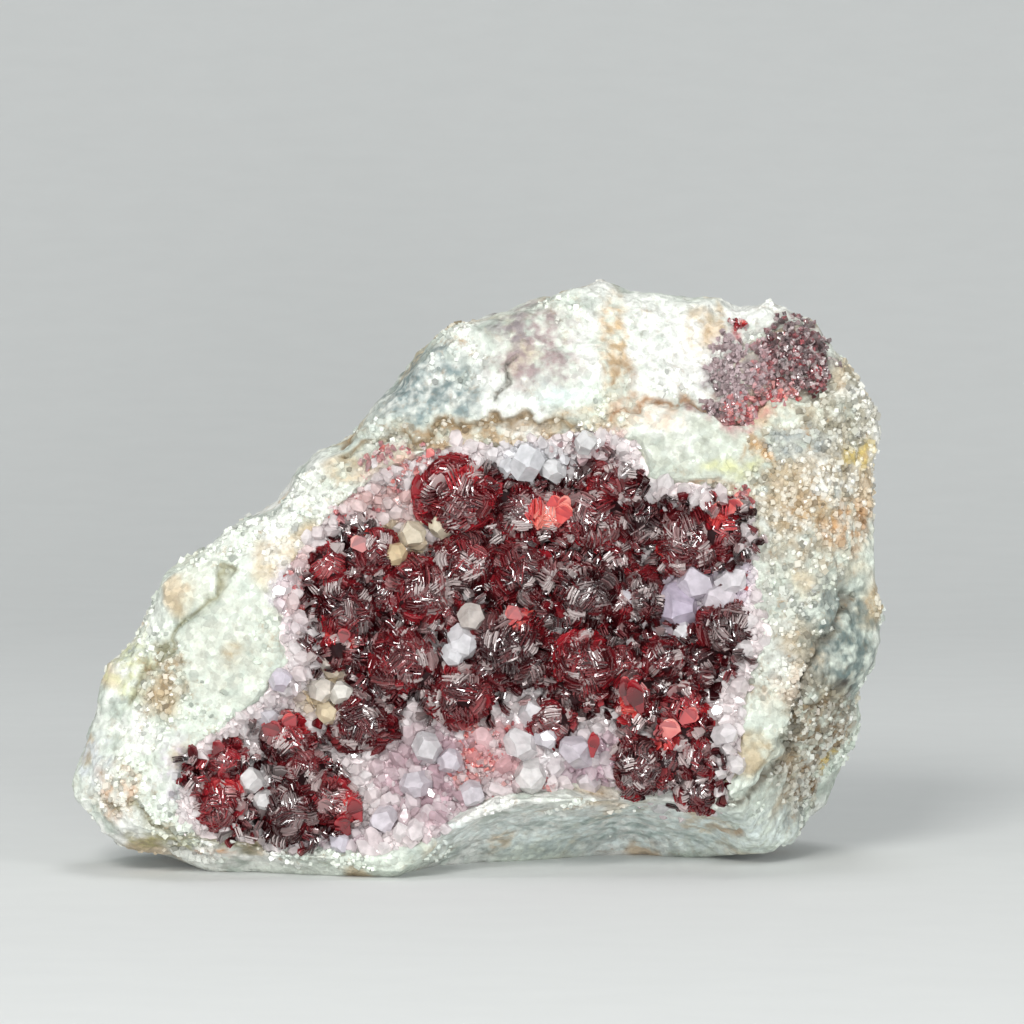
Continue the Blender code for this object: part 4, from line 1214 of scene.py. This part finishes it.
blade_forms = bpy.data.collections.new("blade_forms")
BLADE_ENDS = [
    ((0.92, 1.00, 0.93), (0.90, 0.98, 0.92)), ((0.88, 1.02, 0.95), (0.90, 1.00, 0.96)),
    ((0.95, 1.00, 0.90), (0.96, 1.02, 0.88)), ((0.93, 0.97, 0.97), (0.91, 0.99, 0.94)),
]
for number, ends in enumerate(BLADE_ENDS):
    blade_forms.objects.link(blade_form(number, ends))

STACK_FIELDS = {
    "aim": "FLOAT_VECTOR", "spin": "FLOAT", "blade_length": "FLOAT", "blade_width": "FLOAT",
    "stack_tone": "FLOAT", "stack_gleam": "FLOAT", "stack_dust": "FLOAT",
}

blades_tree, given, result = new_tree(
    "stacked_blades",
    {
        "Leaves": "Int", "Leaf step": "Float", "Fan": "Float", "Thickness": "Float",
        "Forms": "Collection", "Finish": "Material",
    },
)
stacks = add_node(
    blades_tree,
    "GeometryNodeDuplicateElements",
    {"domain": "POINT"},
    {"Geometry": given["Geometry"], "Amount": given["Leaves"]},
)
fields = {}
for name, kind in STACK_FIELDS.items():
    field = add_node(blades_tree, "GeometryNodeInputNamedAttribute", {"data_type": kind}, {"Name": name})
    fields[name] = field.outputs[0]
half = reckon(blades_tree, "MULTIPLY_ADD", given["Leaves"], -0.5, stacks.outputs["Duplicate Index"])
off_middle = reckon(blades_tree, "ADD", half, 0.5)
fan_wobble = by_chance(blades_tree, -0.05, 0.05, 9)
fan_angle = reckon(blades_tree, "MULTIPLY", off_middle, given["Fan"])
fan_all = reckon(blades_tree, "ADD", fan_angle, fan_wobble)
fan_back = reckon(blades_tree, "MULTIPLY", fan_all, -1.0)
slip = by_chance(blades_tree, -0.10, 0.10, 10)
aimed = add_node(blades_tree, "FunctionNodeAlignRotationToVector", {"axis": "Z"}, {"Vector": fields["aim"]})
spun = add_node(
    blades_tree, "FunctionNodeAxisAngleToRotation", inputs={"Axis": (0, 0, 1), "Angle": fields["spin"]}
)
stack_turn = add_node(
    blades_tree,
    "FunctionNodeRotateRotation",
    {"rotation_space": "LOCAL"},
    {0: aimed.outputs[0], 1: spun.outputs[0]},
)
leaf_lean = add_node(
    blades_tree, "ShaderNodeCombineXYZ", inputs={0: fan_back, 1: slip}
)
leaf_turn = add_node(
    blades_tree,
    "FunctionNodeRotateRotation",
    {"rotation_space": "LOCAL"},
    {0: stack_turn.outputs[0], 1: leaf_lean.outputs[0]},
)
step_out = reckon(blades_tree, "MULTIPLY", off_middle, given["Leaf step"])
step_vector = add_node(blades_tree, "ShaderNodeCombineXYZ", inputs={1: step_out})
step_turned = add_node(
    blades_tree,
    "FunctionNodeRotateVector",
    inputs={"Vector": step_vector.outputs[0], "Rotation": stack_turn.outputs[0]},
)
stepped = add_node(
    blades_tree,
    "GeometryNodeSetPosition",
    inputs={"Geometry": stacks.outputs["Geometry"], "Offset": step_turned.outputs[0]},
)
shorter = by_chance(blades_tree, 0.95, 1.03, 11)
narrower = by_chance(blades_tree, 0.65, 1.15, 12)
long_leaf = reckon(blades_tree, "MULTIPLY", fields["blade_length"], shorter)
wide_leaf = reckon(blades_tree, "MULTIPLY", fields["blade_width"], narrower)
scale = add_node(
    blades_tree,
    "ShaderNodeCombineXYZ",
    inputs={0: wide_leaf, 1: given["Thickness"], 2: long_leaf},
)
form = add_node(
    blades_tree,
    "GeometryNodeCollectionInfo",
    inputs={"Collection": given["Forms"], "Separate Children": True, "Reset Children": True},
)
placed = add_node(
    blades_tree,
    "GeometryNodeInstanceOnPoints",
    inputs={
        "Points": stepped.outputs[0],
        "Instance": form.outputs[0],
        "Pick Instance": True,
        "Rotation": leaf_turn.outputs[0],
        "Scale": scale.outputs[0],
    },
)
tone_jitter = by_chance(blades_tree, -0.10, 0.10, 13)
tone_all = reckon(blades_tree, "ADD", fields["stack_tone"], tone_jitter)
marked = placed.outputs[0]
marks = {
    "blade_tone": tone_all, "pearly": fields["stack_gleam"], "weathered": fields["stack_dust"],
}
for name, value in marks.items():
    marking = add_node(
        blades_tree,
        "GeometryNodeStoreNamedAttribute",
        {"data_type": "FLOAT", "domain": "INSTANCE"},
        {"Geometry": marked, "Name": name, "Value": value},
    )
    marked = marking.outputs[0]
real = add_node(blades_tree, "GeometryNodeRealizeInstances", inputs={"Geometry": marked})
finished = add_node(
    blades_tree,
    "GeometryNodeSetMaterial",
    inputs={"Geometry": real.outputs[0], "Material": given["Finish"]},
)
blades_tree.links.new(finished.outputs[0], result.inputs[0])

# Wendwilsonite, a hydrated arsenate of the vivianite kind: a glassy to pearl-like lustre, see-through red in
# thin blades, near black in the depth of a rosette. Some stacks get a painted glint of pale pearl-grey.
red = bpy.data.materials.new("wendwilsonite_blades")
red.use_nodes = True
tree = red.node_tree
own_place = add_node(tree, "ShaderNodeTexCoord").outputs["Object"]
along = add_node(tree, "ShaderNodeAttribute", {"attribute_name": "along"}).outputs["Fac"]
tone_here = add_node(tree, "ShaderNodeAttribute", {"attribute_name": "blade_tone"}).outputs["Fac"]
lit = add_node(
    tree,
    "ShaderNodeMapRange",
    inputs={"Value": along, "From Min": 0.45, "From Max": 1.0, "To Min": 0.0, "To Max": 0.16},
)
depth = reckon(tree, "ADD", lit.outputs[0], tone_here)
reds = add_node(tree, "ShaderNodeValToRGB", inputs={0: depth})
RED_STOPS = [
    (0.0, "#120405"), (0.3, "#360b0f"), (0.52, "#6e161d"), (0.74, "#aa242e"), (0.88, "#d6423e"),
    (1.0, "#ee8a7c"),
]
ramp = reds.color_ramp
ramp.elements[0].position, ramp.elements[0].color = RED_STOPS[0][0], linear(RED_STOPS[0][1])
ramp.elements[1].position, ramp.elements[1].color = RED_STOPS[-1][0], linear(RED_STOPS[-1][1])
for place, colour in RED_STOPS[1:-1]:
    ramp.elements.new(place).color = linear(colour)
scratches = add_node(
    tree, "ShaderNodeTexNoise", inputs={"Vector": own_place, "Scale": across(0.3), "Detail": 3.0}
)
scratched = add_node(
    tree,
    "ShaderNodeBump",
    inputs={"Height": scratches.outputs["Fac"], "Strength": 0.15, "Distance": 0.08 * MM},
)
# Painted glint: pale pearl-grey mixed into the colour of the stacks chosen for it.
pearly = add_node(tree, "ShaderNodeAttribute", {"attribute_name": "pearly"}).outputs["Fac"]
weathered = add_node(tree, "ShaderNodeAttribute", {"attribute_name": "weathered"}).outputs["Fac"]
with_painted_glint = mixed(tree, pearly, reds.outputs["Color"], linear("#cdbfbd"))
with_dust = mixed(tree, weathered, with_painted_glint, linear("#b7a2a5"))
dulled = add_node(tree, "ShaderNodeMapRange", inputs={"Value": weathered, "To Min": 0.16, "To Max": 0.6})
shader = tree.nodes["Principled BSDF"]
tree.links.new(with_dust, shader.inputs["Base Color"])
tree.links.new(scratched.outputs[0], shader.inputs["Normal"])
tree.links.new(dulled.outputs[0], shader.inputs["Roughness"])
shader.inputs["IOR"].default_value = 1.68
shader.inputs["Transmission Weight"].default_value = 0.22
shader.inputs["Coat Weight"].default_value = 0.6
shader.inputs["Coat Roughness"].default_value = 0.05

# Between the rosettes the quartz shows through only in these windows: middle, half width and half height.
WINDOWS = [
    ((17.4, 22.9), (3.4, 2.6)), ((-0.9, 20.4), (1.6, 2.4)), ((-12.6, 14.8), (2.2, 2.2)),
    ((-5.6, 28.0), (2.4, 1.8)),
    ((4.0, 10.6), (3.4, 3.4)), ((9.0, 9.0), (2.6, 3.0)), ((-3.4, 9.6), (5.0, 3.6)),
    ((20.6, 13.6), (1.6, 3.0)),
    ((-18.6, 8.0), (1.6, 1.4)),
]


class Stacks:
    """The stacks of blades of one cluster: where each starts and how it points, spins and looks."""

    def __init__(self):
        self.rows = []

    def add(self, stem, aim, spin, length, width, tone, gleam=0.0, dust=0.0):
        """One more stack: its foot, length and width are in millimetres."""
        self.rows.append((stem * MM, aim, spin, length * MM, width * MM, tone, gleam, dust))

    def mesh(self, name, kept):
        """A vertex for each of these rows, with its fields as the attributes that the tree reads."""
        made = bpy.data.meshes.new(name)
        made.from_pydata([row[0] for row in kept], [], [])
        for i, (field, kind) in enumerate(STACK_FIELDS.items(), 1):
            store(made, field, kind, [row[i] for row in kept])
        return made


def surface_y(x, z):
    """How far back the surface under a rosette lies: quartz in the hollow, rock outside it."""
    if hollow_share(x, z) < 1:
        return bed_y(x, z)
    hit = rock_front.ray_cast(Vector((x, -60, z)) * MM, Vector((0, 1, 0)))[0]
    return hit.y / MM if hit else None


# Where blades are thin and light glows through them: middle, half width and half height, how much paler.
GLOWS = [
    ((-21.4, 10.2), (2.2, 1.4), 0.24), ((-15.9, 12.0), (2.6, 1.5), 0.28), ((-21.9, 8.0), (2.4, 0.7), 0.20),
    ((-10.9, 5.6), (0.9, 2.2), 0.25), ((-1.0, 26.4), (2.4, 1.9), 0.22), ((5.6, 29.8), (1.5, 1.4), 0.55),
    ((3.5, 21.2), (1.2, 0.8), 0.45), ((12.6, 14.4), (1.4, 2.4), 0.48), ((15.4, 11.6), (1.0, 1.2), 0.40),
    ((19.9, 29.4), (1.2, 1.8), 0.45), ((-11.8, 19.8), (2.0, 1.6), 0.20), ((-12.6, 25.2), (1.8, 1.4), 0.16),
    ((9.6, 11.6), (0.8, 1.2), 0.35), ((17.8, 13.0), (2.0, 2.2), 0.20), ((-1.8, 33.6), (2.8, 0.8), 0.25),
]


def glow_at(x, z):
    """How much paler the blades are at a place, from the glow that lies nearest."""
    paler = 0.0
    for (middle_x, middle_z), (half_x, half_z), most in GLOWS:
        apart = math.hypot((x - middle_x) / half_x, (z - middle_z) / half_z)
        paler = max(paler, most * (1 - smooth(0.6, 1.2, apart)))
    return paler


def random_way(rng):
    """A direction by chance, all directions alike."""
    return Vector((rng.gauss(0, 1), rng.gauss(0, 1), rng.gauss(0, 1))).normalized()


def bulge(way, middle):
    """A rosette isn't round: how far it reaches in one direction, as a share of its radius."""
    return 1 + BULGE * noise.noise(way * BULGE_DETAIL + middle * BULGE_APART)


def gleam_of(rng):
    """Painted glint for a stack: mostly none, some a pale pearl-grey like cleavage faces catching light."""
    return rng.choice((0.0, 0.0, 0.0, 0.0, 0.0, 0.0, 0.04, 0.12, 0.35, 0.8))


# Where small blades lie matted in a crust: middle, half width and half height, how many, tone, weathering.
MATS = {
    "wendwilsonite_main_cluster": [
        ((-5.3, 33.5), (4.4, 1.9), 420, 0.80, 0.45), ((8.8, 34.2), (2.9, 2.0), 330, 0.30, 0.35),
        ((-10.2, 29.4), (1.9, 1.5), 130, 0.55, 0.35), ((-15.0, 23.0), (1.3, 2.6), 130, 0.75, 0.30),
        ((0.6, 10.8), (2.2, 2.2), 170, 0.80, 0.35), ((-1.2, 8.9), (1.8, 1.1), 80, 0.85, 0.3),
        ((4.0, 7.4), (3.0, 1.0), 60, 0.8, 0.4),
        ((20.8, 26.0), (1.3, 3.0), 160, 0.55, 0.25), ((21.6, 30.8), (1.0, 1.3), 80, 0.80, 0.25),
    ],
    "wendwilsonite_lower_left_cluster": [
        ((-22.0, 8.2), (2.0, 1.6), 90, 0.6, 0.1), ((-18.4, 4.0), (3.0, 0.9), 90, 0.4, 0.1)
    ],
    "wendwilsonite_upper_right_patch": [
        ((26.3, 43.2), (2.9, 2.8), 760, 0.26, 0.22), ((21.2, 41.6), (1.9, 2.9), 480, 0.24, 0.95),
        ((23.7, 42.0), (1.2, 2.6), 260, 0.66, 0.75), ((24.8, 40.2), (2.0, 1.0), 240, 0.80, 0.35),
        ((21.6, 38.4), (1.5, 1.0), 200, 0.72, 0.45), ((27.6, 41.6), (1.3, 1.6), 200, 0.42, 0.15),
        ((19.6, 39.0), (1.6, 0.7), 140, 0.25, 0.55), ((21.5, 45.2), (0.7, 0.6), 70, 0.7, 0.0),
    ],
}
# Large thin plates that stand out of the rosettes: x, z, how far out the foot stands, length, width,
# how the plate turns on the front, how its tip leans out, tone and gleam.
PLATES = {
    "wendwilsonite_main_cluster": [
        (6.6, 29.2, 2.3, 1.8, 1.4, 0.4, 0.25, 0.85, 0.0), (7.4, 30.2, 2.2, 1.5, 1.1, -0.5, 0.35, 0.88, 0.1),
        (5.6, 30.6, 2.1, 1.3, 1.0, 1.0, 0.2, 0.85, 0.0), (19.7, 29.2, 1.9, 2.0, 1.6, 0.2, 0.2, 0.85, 0.1),
        (20.6, 30.2, 1.6, 1.5, 1.2, 0.8, 0.3, 0.82, 0.1), (3.4, 21.3, 2.5, 1.6, 1.1, -0.9, 0.2, 0.78, 0.2),
        (13.4, 13.6, 2.0, 3.0, 1.3, -0.35, 0.25, 0.64, 0.0),
        (12.2, 14.2, 1.9, 2.6, 1.0, -0.1, 0.2, 0.66, 0.05),
        (15.4, 11.4, 1.7, 1.9, 1.6, 0.3, 0.2, 0.90, 0.2), (9.3, 9.9, 1.6, 2.2, 0.8, 0.1, 0.2, 0.70, 0.0),
        (16.6, 12.8, 2.0, 1.9, 1.3, 0.9, 0.3, 0.78, 0.1), (-9.6, 26.9, 2.1, 1.6, 1.2, -0.6, 0.3, 0.75, 0.4),
        (-4.4, 34.6, 0.6, 0.9, 0.7, 0.6, 0.2, 0.80, 0.2), (-11.4, 19.4, 2.2, 1.3, 1.0, 0.2, 0.3, 0.64, 0.1),
    ],
    "wendwilsonite_lower_left_cluster": [
        (-17.6, 11.4, 1.7, 1.8, 1.5, 0.3, 0.2, 0.62, 0.05),
        (-15.4, 12.2, 1.6, 1.6, 1.2, -0.5, 0.3, 0.68, 0.05),
        (-16.6, 12.8, 1.3, 1.3, 1.2, 0.9, 0.2, 0.60, 0.1), (-23.4, 9.4, 0.8, 2.0, 0.7, -0.2, 0.1, 0.50, 0.0),
        (-22.0, 10.4, 1.4, 1.3, 1.0, 0.6, 0.2, 0.60, 0.0), (-20.6, 8.2, 1.7, 1.4, 1.0, -0.8, 0.3, 0.60, 0.0),
        (-9.9, 4.6, 1.2, 2.4, 1.2, -0.3, 0.2, 0.70, 0.0), (-10.8, 3.6, 1.2, 1.9, 1.2, -0.6, 0.3, 0.64, 0.0),
        (-13.0, 5.4, 2.1, 1.4, 1.1, 0.3, 0.3, 0.44, 0.3),
    ],
    "wendwilsonite_upper_right_patch": [],
}
PLATE_LEAVES, PLATE_STEPS = 3, 7
MAT_LENGTHS, MAT_WIDTHS = (0.35, 0.8), (0.2, 0.5)
MAT_EDGE, MAT_TONES, MAT_DUST = (0.75, 1.2), (-0.25, 0.2), (0.4, 1.3)
MAT_GLEAMS, MAT_FORWARD = (0.0, 0.0, 0.1, 0.3, 0.8), 0.2
MAT_GAP_SIZE, MAT_GAP_LEVEL, MAT_GAP_SLICE, MAT_RAISED = 0.9, -0.12, 3.3, 0.08
WIDEST_BLADE, BLADE_LENGTHS, STEM_SHARE = 1.9, (0.68, 0.80), 0.25
ROSETTE_TONES, TONE_SPREAD, RIM_GLOW = (0.14, 0.34), 0.10, 0.25
SWIRL, SWIRL_SIZE, SPIN_SPREAD, AIM_SPREAD = 4.5, 1.5, 0.7, 0.24
GROWN_TOGETHER, SUNK, HIDDEN_SIDE = 0.86, 0.4, -0.05
FILLING_RING, FILLING_CLEAR, FILLING_NEXT = (0.85, 1.3), 0.85, 1.75
FILLING_LENGTHS, FILLING_WIDTHS, FILLING_TONES = (1.0, 1.7), (0.5, 1.1), (0.05, 0.35)
FILLING_SPREAD, FILLING_RAISED = 0.8, 0.35
PLATE_ROOT, PLATE_HALF, PLATE_SHOULDER, PLATE_ARCH = 0.16, 0.62, 0.35, 0.65
PLATE_START, PLATE_SWEEP, PLATE_RAGGED = 0.14, 0.72, (0.88, 1.05)
PLATE_STEP, PLATE_FADE, PLATE_THICK = 0.16, 0.10, 1.3
FRONT = Vector((0, -1, 0))


def grow_rosette(stacks, cores, middle, radius, balls, rng):
    """A rosette: its heart of painted shade, and stacks of blades all round it, not inside its neighbours.
    """
    outward = Vector((rng.uniform(-0.3, 0.3), -1, rng.uniform(-0.2, 0.4))).normalized()
    core = bmesh.ops.create_icosphere(cores, subdivisions=3, radius=CORE_SHARE * radius * MM)["verts"]
    for vertex in core:
        vertex.co *= bulge(vertex.co.normalized(), middle)
        vertex.co.y *= FLATTEN
        vertex.co += middle * MM
    rosette_tone = rng.uniform(*ROSETTE_TONES)
    swirl = rng.uniform(0, math.tau)
    for _ in range(round(2 * math.tau * radius * radius * STACKS_PER_MM2)):
        way = random_way(rng)
        if way.dot(outward) < HIDDEN_SIDE:
            continue
        reach = way * radius * bulge(way, middle)
        reach.y *= FLATTEN
        tip = middle + reach
        if any((tip - other).length < GROWN_TOGETHER * r for other, r in balls if other is not middle):
            continue
        if tip.y > surface_y(tip.x, tip.z) + SUNK:
            continue
        rim = 1 - abs(way.dot(FRONT))
        spin = swirl + SWIRL * noise.noise(tip / SWIRL_SIZE) * math.pi + rng.gauss(0, SPIN_SPREAD)
        width = min(WIDEST_BLADE, radius * rng.uniform(*BLADE_WIDTHS))
        tone = rosette_tone + rng.uniform(-TONE_SPREAD, TONE_SPREAD) + RIM_GLOW * rim * rim + glow_at(
            tip.x, tip.z
        )
        aim = (reach.normalized() + random_way(rng) * AIM_SPREAD).normalized()
        length = reach.length * rng.uniform(*BLADE_LENGTHS)
        stacks.add(middle + reach * STEM_SHARE, aim, spin, length, width, tone, gleam_of(rng))


def fill_between(small, members, count, rng):
    """Small stacks in the gaps between rosettes, but for the windows where quartz shows."""
    filled = 0
    while filled < count:
        near_x, near_z, r = members[rng.randrange(len(members))]
        angle, apart = rng.uniform(0, math.tau), r * rng.uniform(*FILLING_RING)
        x, z = near_x + math.cos(angle) * apart, near_z + math.sin(angle) * apart
        near = sorted(math.hypot(x - a, z - b) / c for a, b, c in members)
        if near[0] < FILLING_CLEAR or near[1] > FILLING_NEXT:
            continue
        if any(math.hypot((x - a) / c, (z - b) / d) < 1 for (a, b), (c, d) in WINDOWS):
            continue
        way = (Vector((0, -1, 0.1)) + random_way(rng) * FILLING_SPREAD).normalized()
        start = Vector((x, surface_y(x, z) - rng.uniform(0.0, FILLING_RAISED) * r, z))
        small.add(
            start, way, rng.uniform(0, math.tau), rng.uniform(*FILLING_LENGTHS),
            rng.uniform(*FILLING_WIDTHS),
            rng.uniform(*FILLING_TONES) + glow_at(x, z), gleam_of(rng),
        )
        filled += 1


def lay_mat(small, middle, half, count, tone, dust, rng):
    """Small blades that lie matted in a crust, with gaps in it, and none over the black spot."""
    for _ in range(count):
        angle, apart = rng.uniform(0, math.tau), math.sqrt(rng.uniform(0, 1)) * rng.uniform(*MAT_EDGE)
        x, z = middle[0] + half[0] * apart * math.cos(angle), middle[1] + half[1] * apart * math.sin(angle)
        if noise.noise(Vector((x, MAT_GAP_SLICE, z)) / MAT_GAP_SIZE) < MAT_GAP_LEVEL:
            continue
        way = (FRONT * MAT_FORWARD + random_way(rng)).normalized()
        if way.y > -0.05:
            way.y = -0.1
            way.normalize()
        if surface_y(x, z) is None or math.hypot(x - DARK_HOLE[0], z - DARK_HOLE[1]) < DARK_HOLE_RADIUS:
            continue
        small.add(
            Vector((x, surface_y(x, z) + MAT_RAISED, z)), way, rng.uniform(0, math.tau),
            rng.uniform(*MAT_LENGTHS), rng.uniform(*MAT_WIDTHS), tone + rng.uniform(*MAT_TONES),
            rng.choice(MAT_GLEAMS), dust * rng.uniform(*MAT_DUST),
        )


def add_plate(plates, plate_tones, plate, rng):
    """A large plate: a few thin leaves one behind the other, narrow at the root and ragged at the end."""
    x, z, out, long, wide, turn, tip_out, tone, gleam = plate
    for leaf in range(PLATE_LEAVES):
        ring = [Vector((-PLATE_ROOT, 0, 0)), Vector((PLATE_ROOT, 0, 0))]
        leaf_tone = tone - PLATE_FADE * leaf + rng.uniform(-0.08, 0.08)
        for step in range(PLATE_STEPS):
            angle = math.pi * (PLATE_START + PLATE_SWEEP * step / (PLATE_STEPS - 1))
            ragged = rng.uniform(*PLATE_RAGGED)
            arch = PLATE_SHOULDER + PLATE_ARCH * math.sin(angle) * ragged
            ring.append(Vector((PLATE_HALF * math.cos(angle) * ragged, 0, arch)))
        lean = Matrix.Rotation(tip_out + PLATE_STEP * leaf + rng.uniform(-0.05, 0.05), 4, "X")
        roll = Matrix.Rotation(turn + rng.uniform(-0.08, 0.08), 4, "Y")
        place = Vector((x, surface_y(x, z) - out + PLATE_STEP * leaf, z)) * MM
        size = Matrix.Diagonal((wide * MM, BLADE_THICK * PLATE_THICK * MM, long * MM, 1))
        to_place = Matrix.Translation(place) @ roll @ lean @ size
        sides = []
        for y in (-0.5, 0.5):
            sides.append([plates.verts.new(to_place @ (p + Vector((0, y, 0)))) for p in ring])
        front, back = sides
        plates.faces.new(front)
        plates.faces.new(back[::-1])
        for i in range(len(ring)):
            j = (i + 1) % len(ring)
            plates.faces.new((front[j], front[i], back[i], back[j]))
        for p in ring * 2:
            plate_tones.append((p.z, leaf_tone + rng.uniform(-0.06, 0.06), gleam))


for cluster, members in ROSETTES.items():
    rng = random.Random(cluster)
    stacks, small = Stacks(), Stacks()
    balls = []
    # The upper right patch is weathered to a mat, with no whole rosettes left.
    if cluster != "wendwilsonite_upper_right_patch":
        lift = CLUSTER_LIFT[cluster]
        balls = [(Vector((x, surface_y(x, z) - lift * r, z)), r) for x, z, r in members]
    cores = bmesh.new()
    for middle, radius in balls:
        grow_rosette(stacks, cores, middle, radius, balls, rng)
    if balls:
        fill_between(small, members, FILLING[cluster], rng)
    for mat in MATS[cluster]:
        lay_mat(small, *mat, rng)
    plates = bmesh.new()
    plate_tones = []
    for plate in PLATES[cluster]:
        add_plate(plates, plate_tones, plate, rng)
    bmesh.ops.recalc_face_normals(plates, faces=plates.faces)
    pieces = []
    for piece_name, source, leaves in (("_blades", stacks, LEAVES), ("_small_blades", small, SMALL_LEAVES)):
        most = MOST_TRIANGLES // (BLADE_TRIANGLES * leaves)
        for number, first in enumerate(range(0, len(source.rows), most), 1):
            name = f"{cluster}{piece_name}_{number}"
            blades = new_object(name, source.mesh(name, source.rows[first : first + most]))
            grow(
                blades,
                blades_tree,
                {
                    "Leaves": leaves,
                    "Leaf step": LEAF_STEP * MM,
                    "Fan": LEAF_FAN,
                    "Thickness": BLADE_THICK * MM,
                    "Forms": blade_forms,
                    "Finish": red,
                },
            )
            pieces.append(blades)
    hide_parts(cluster)
    if plate_tones:
        plate_mesh = bpy.data.meshes.new(cluster + "_plates")
        plates.to_mesh(plate_mesh)
        plate_mesh.materials.append(red)
        for i, name in enumerate(("along", "blade_tone", "pearly")):
            store(plate_mesh, name, "FLOAT", [row[i] for row in plate_tones])
        pieces.append(new_object(cluster + "_plates", plate_mesh))
    plates.free()
    if balls:
        core_mesh = bpy.data.meshes.new(cluster + "_core")
        cores.to_mesh(core_mesh)
        core_mesh.materials.append(heart_and_gap_shade)
        pieces.append(new_object(cluster + "_core", core_mesh))
    cores.free()
    for piece in pieces:
        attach(piece, "root")
for form_object in list(blade_forms.objects):
    bpy.data.objects.remove(form_object)
bpy.data.collections.remove(blade_forms)
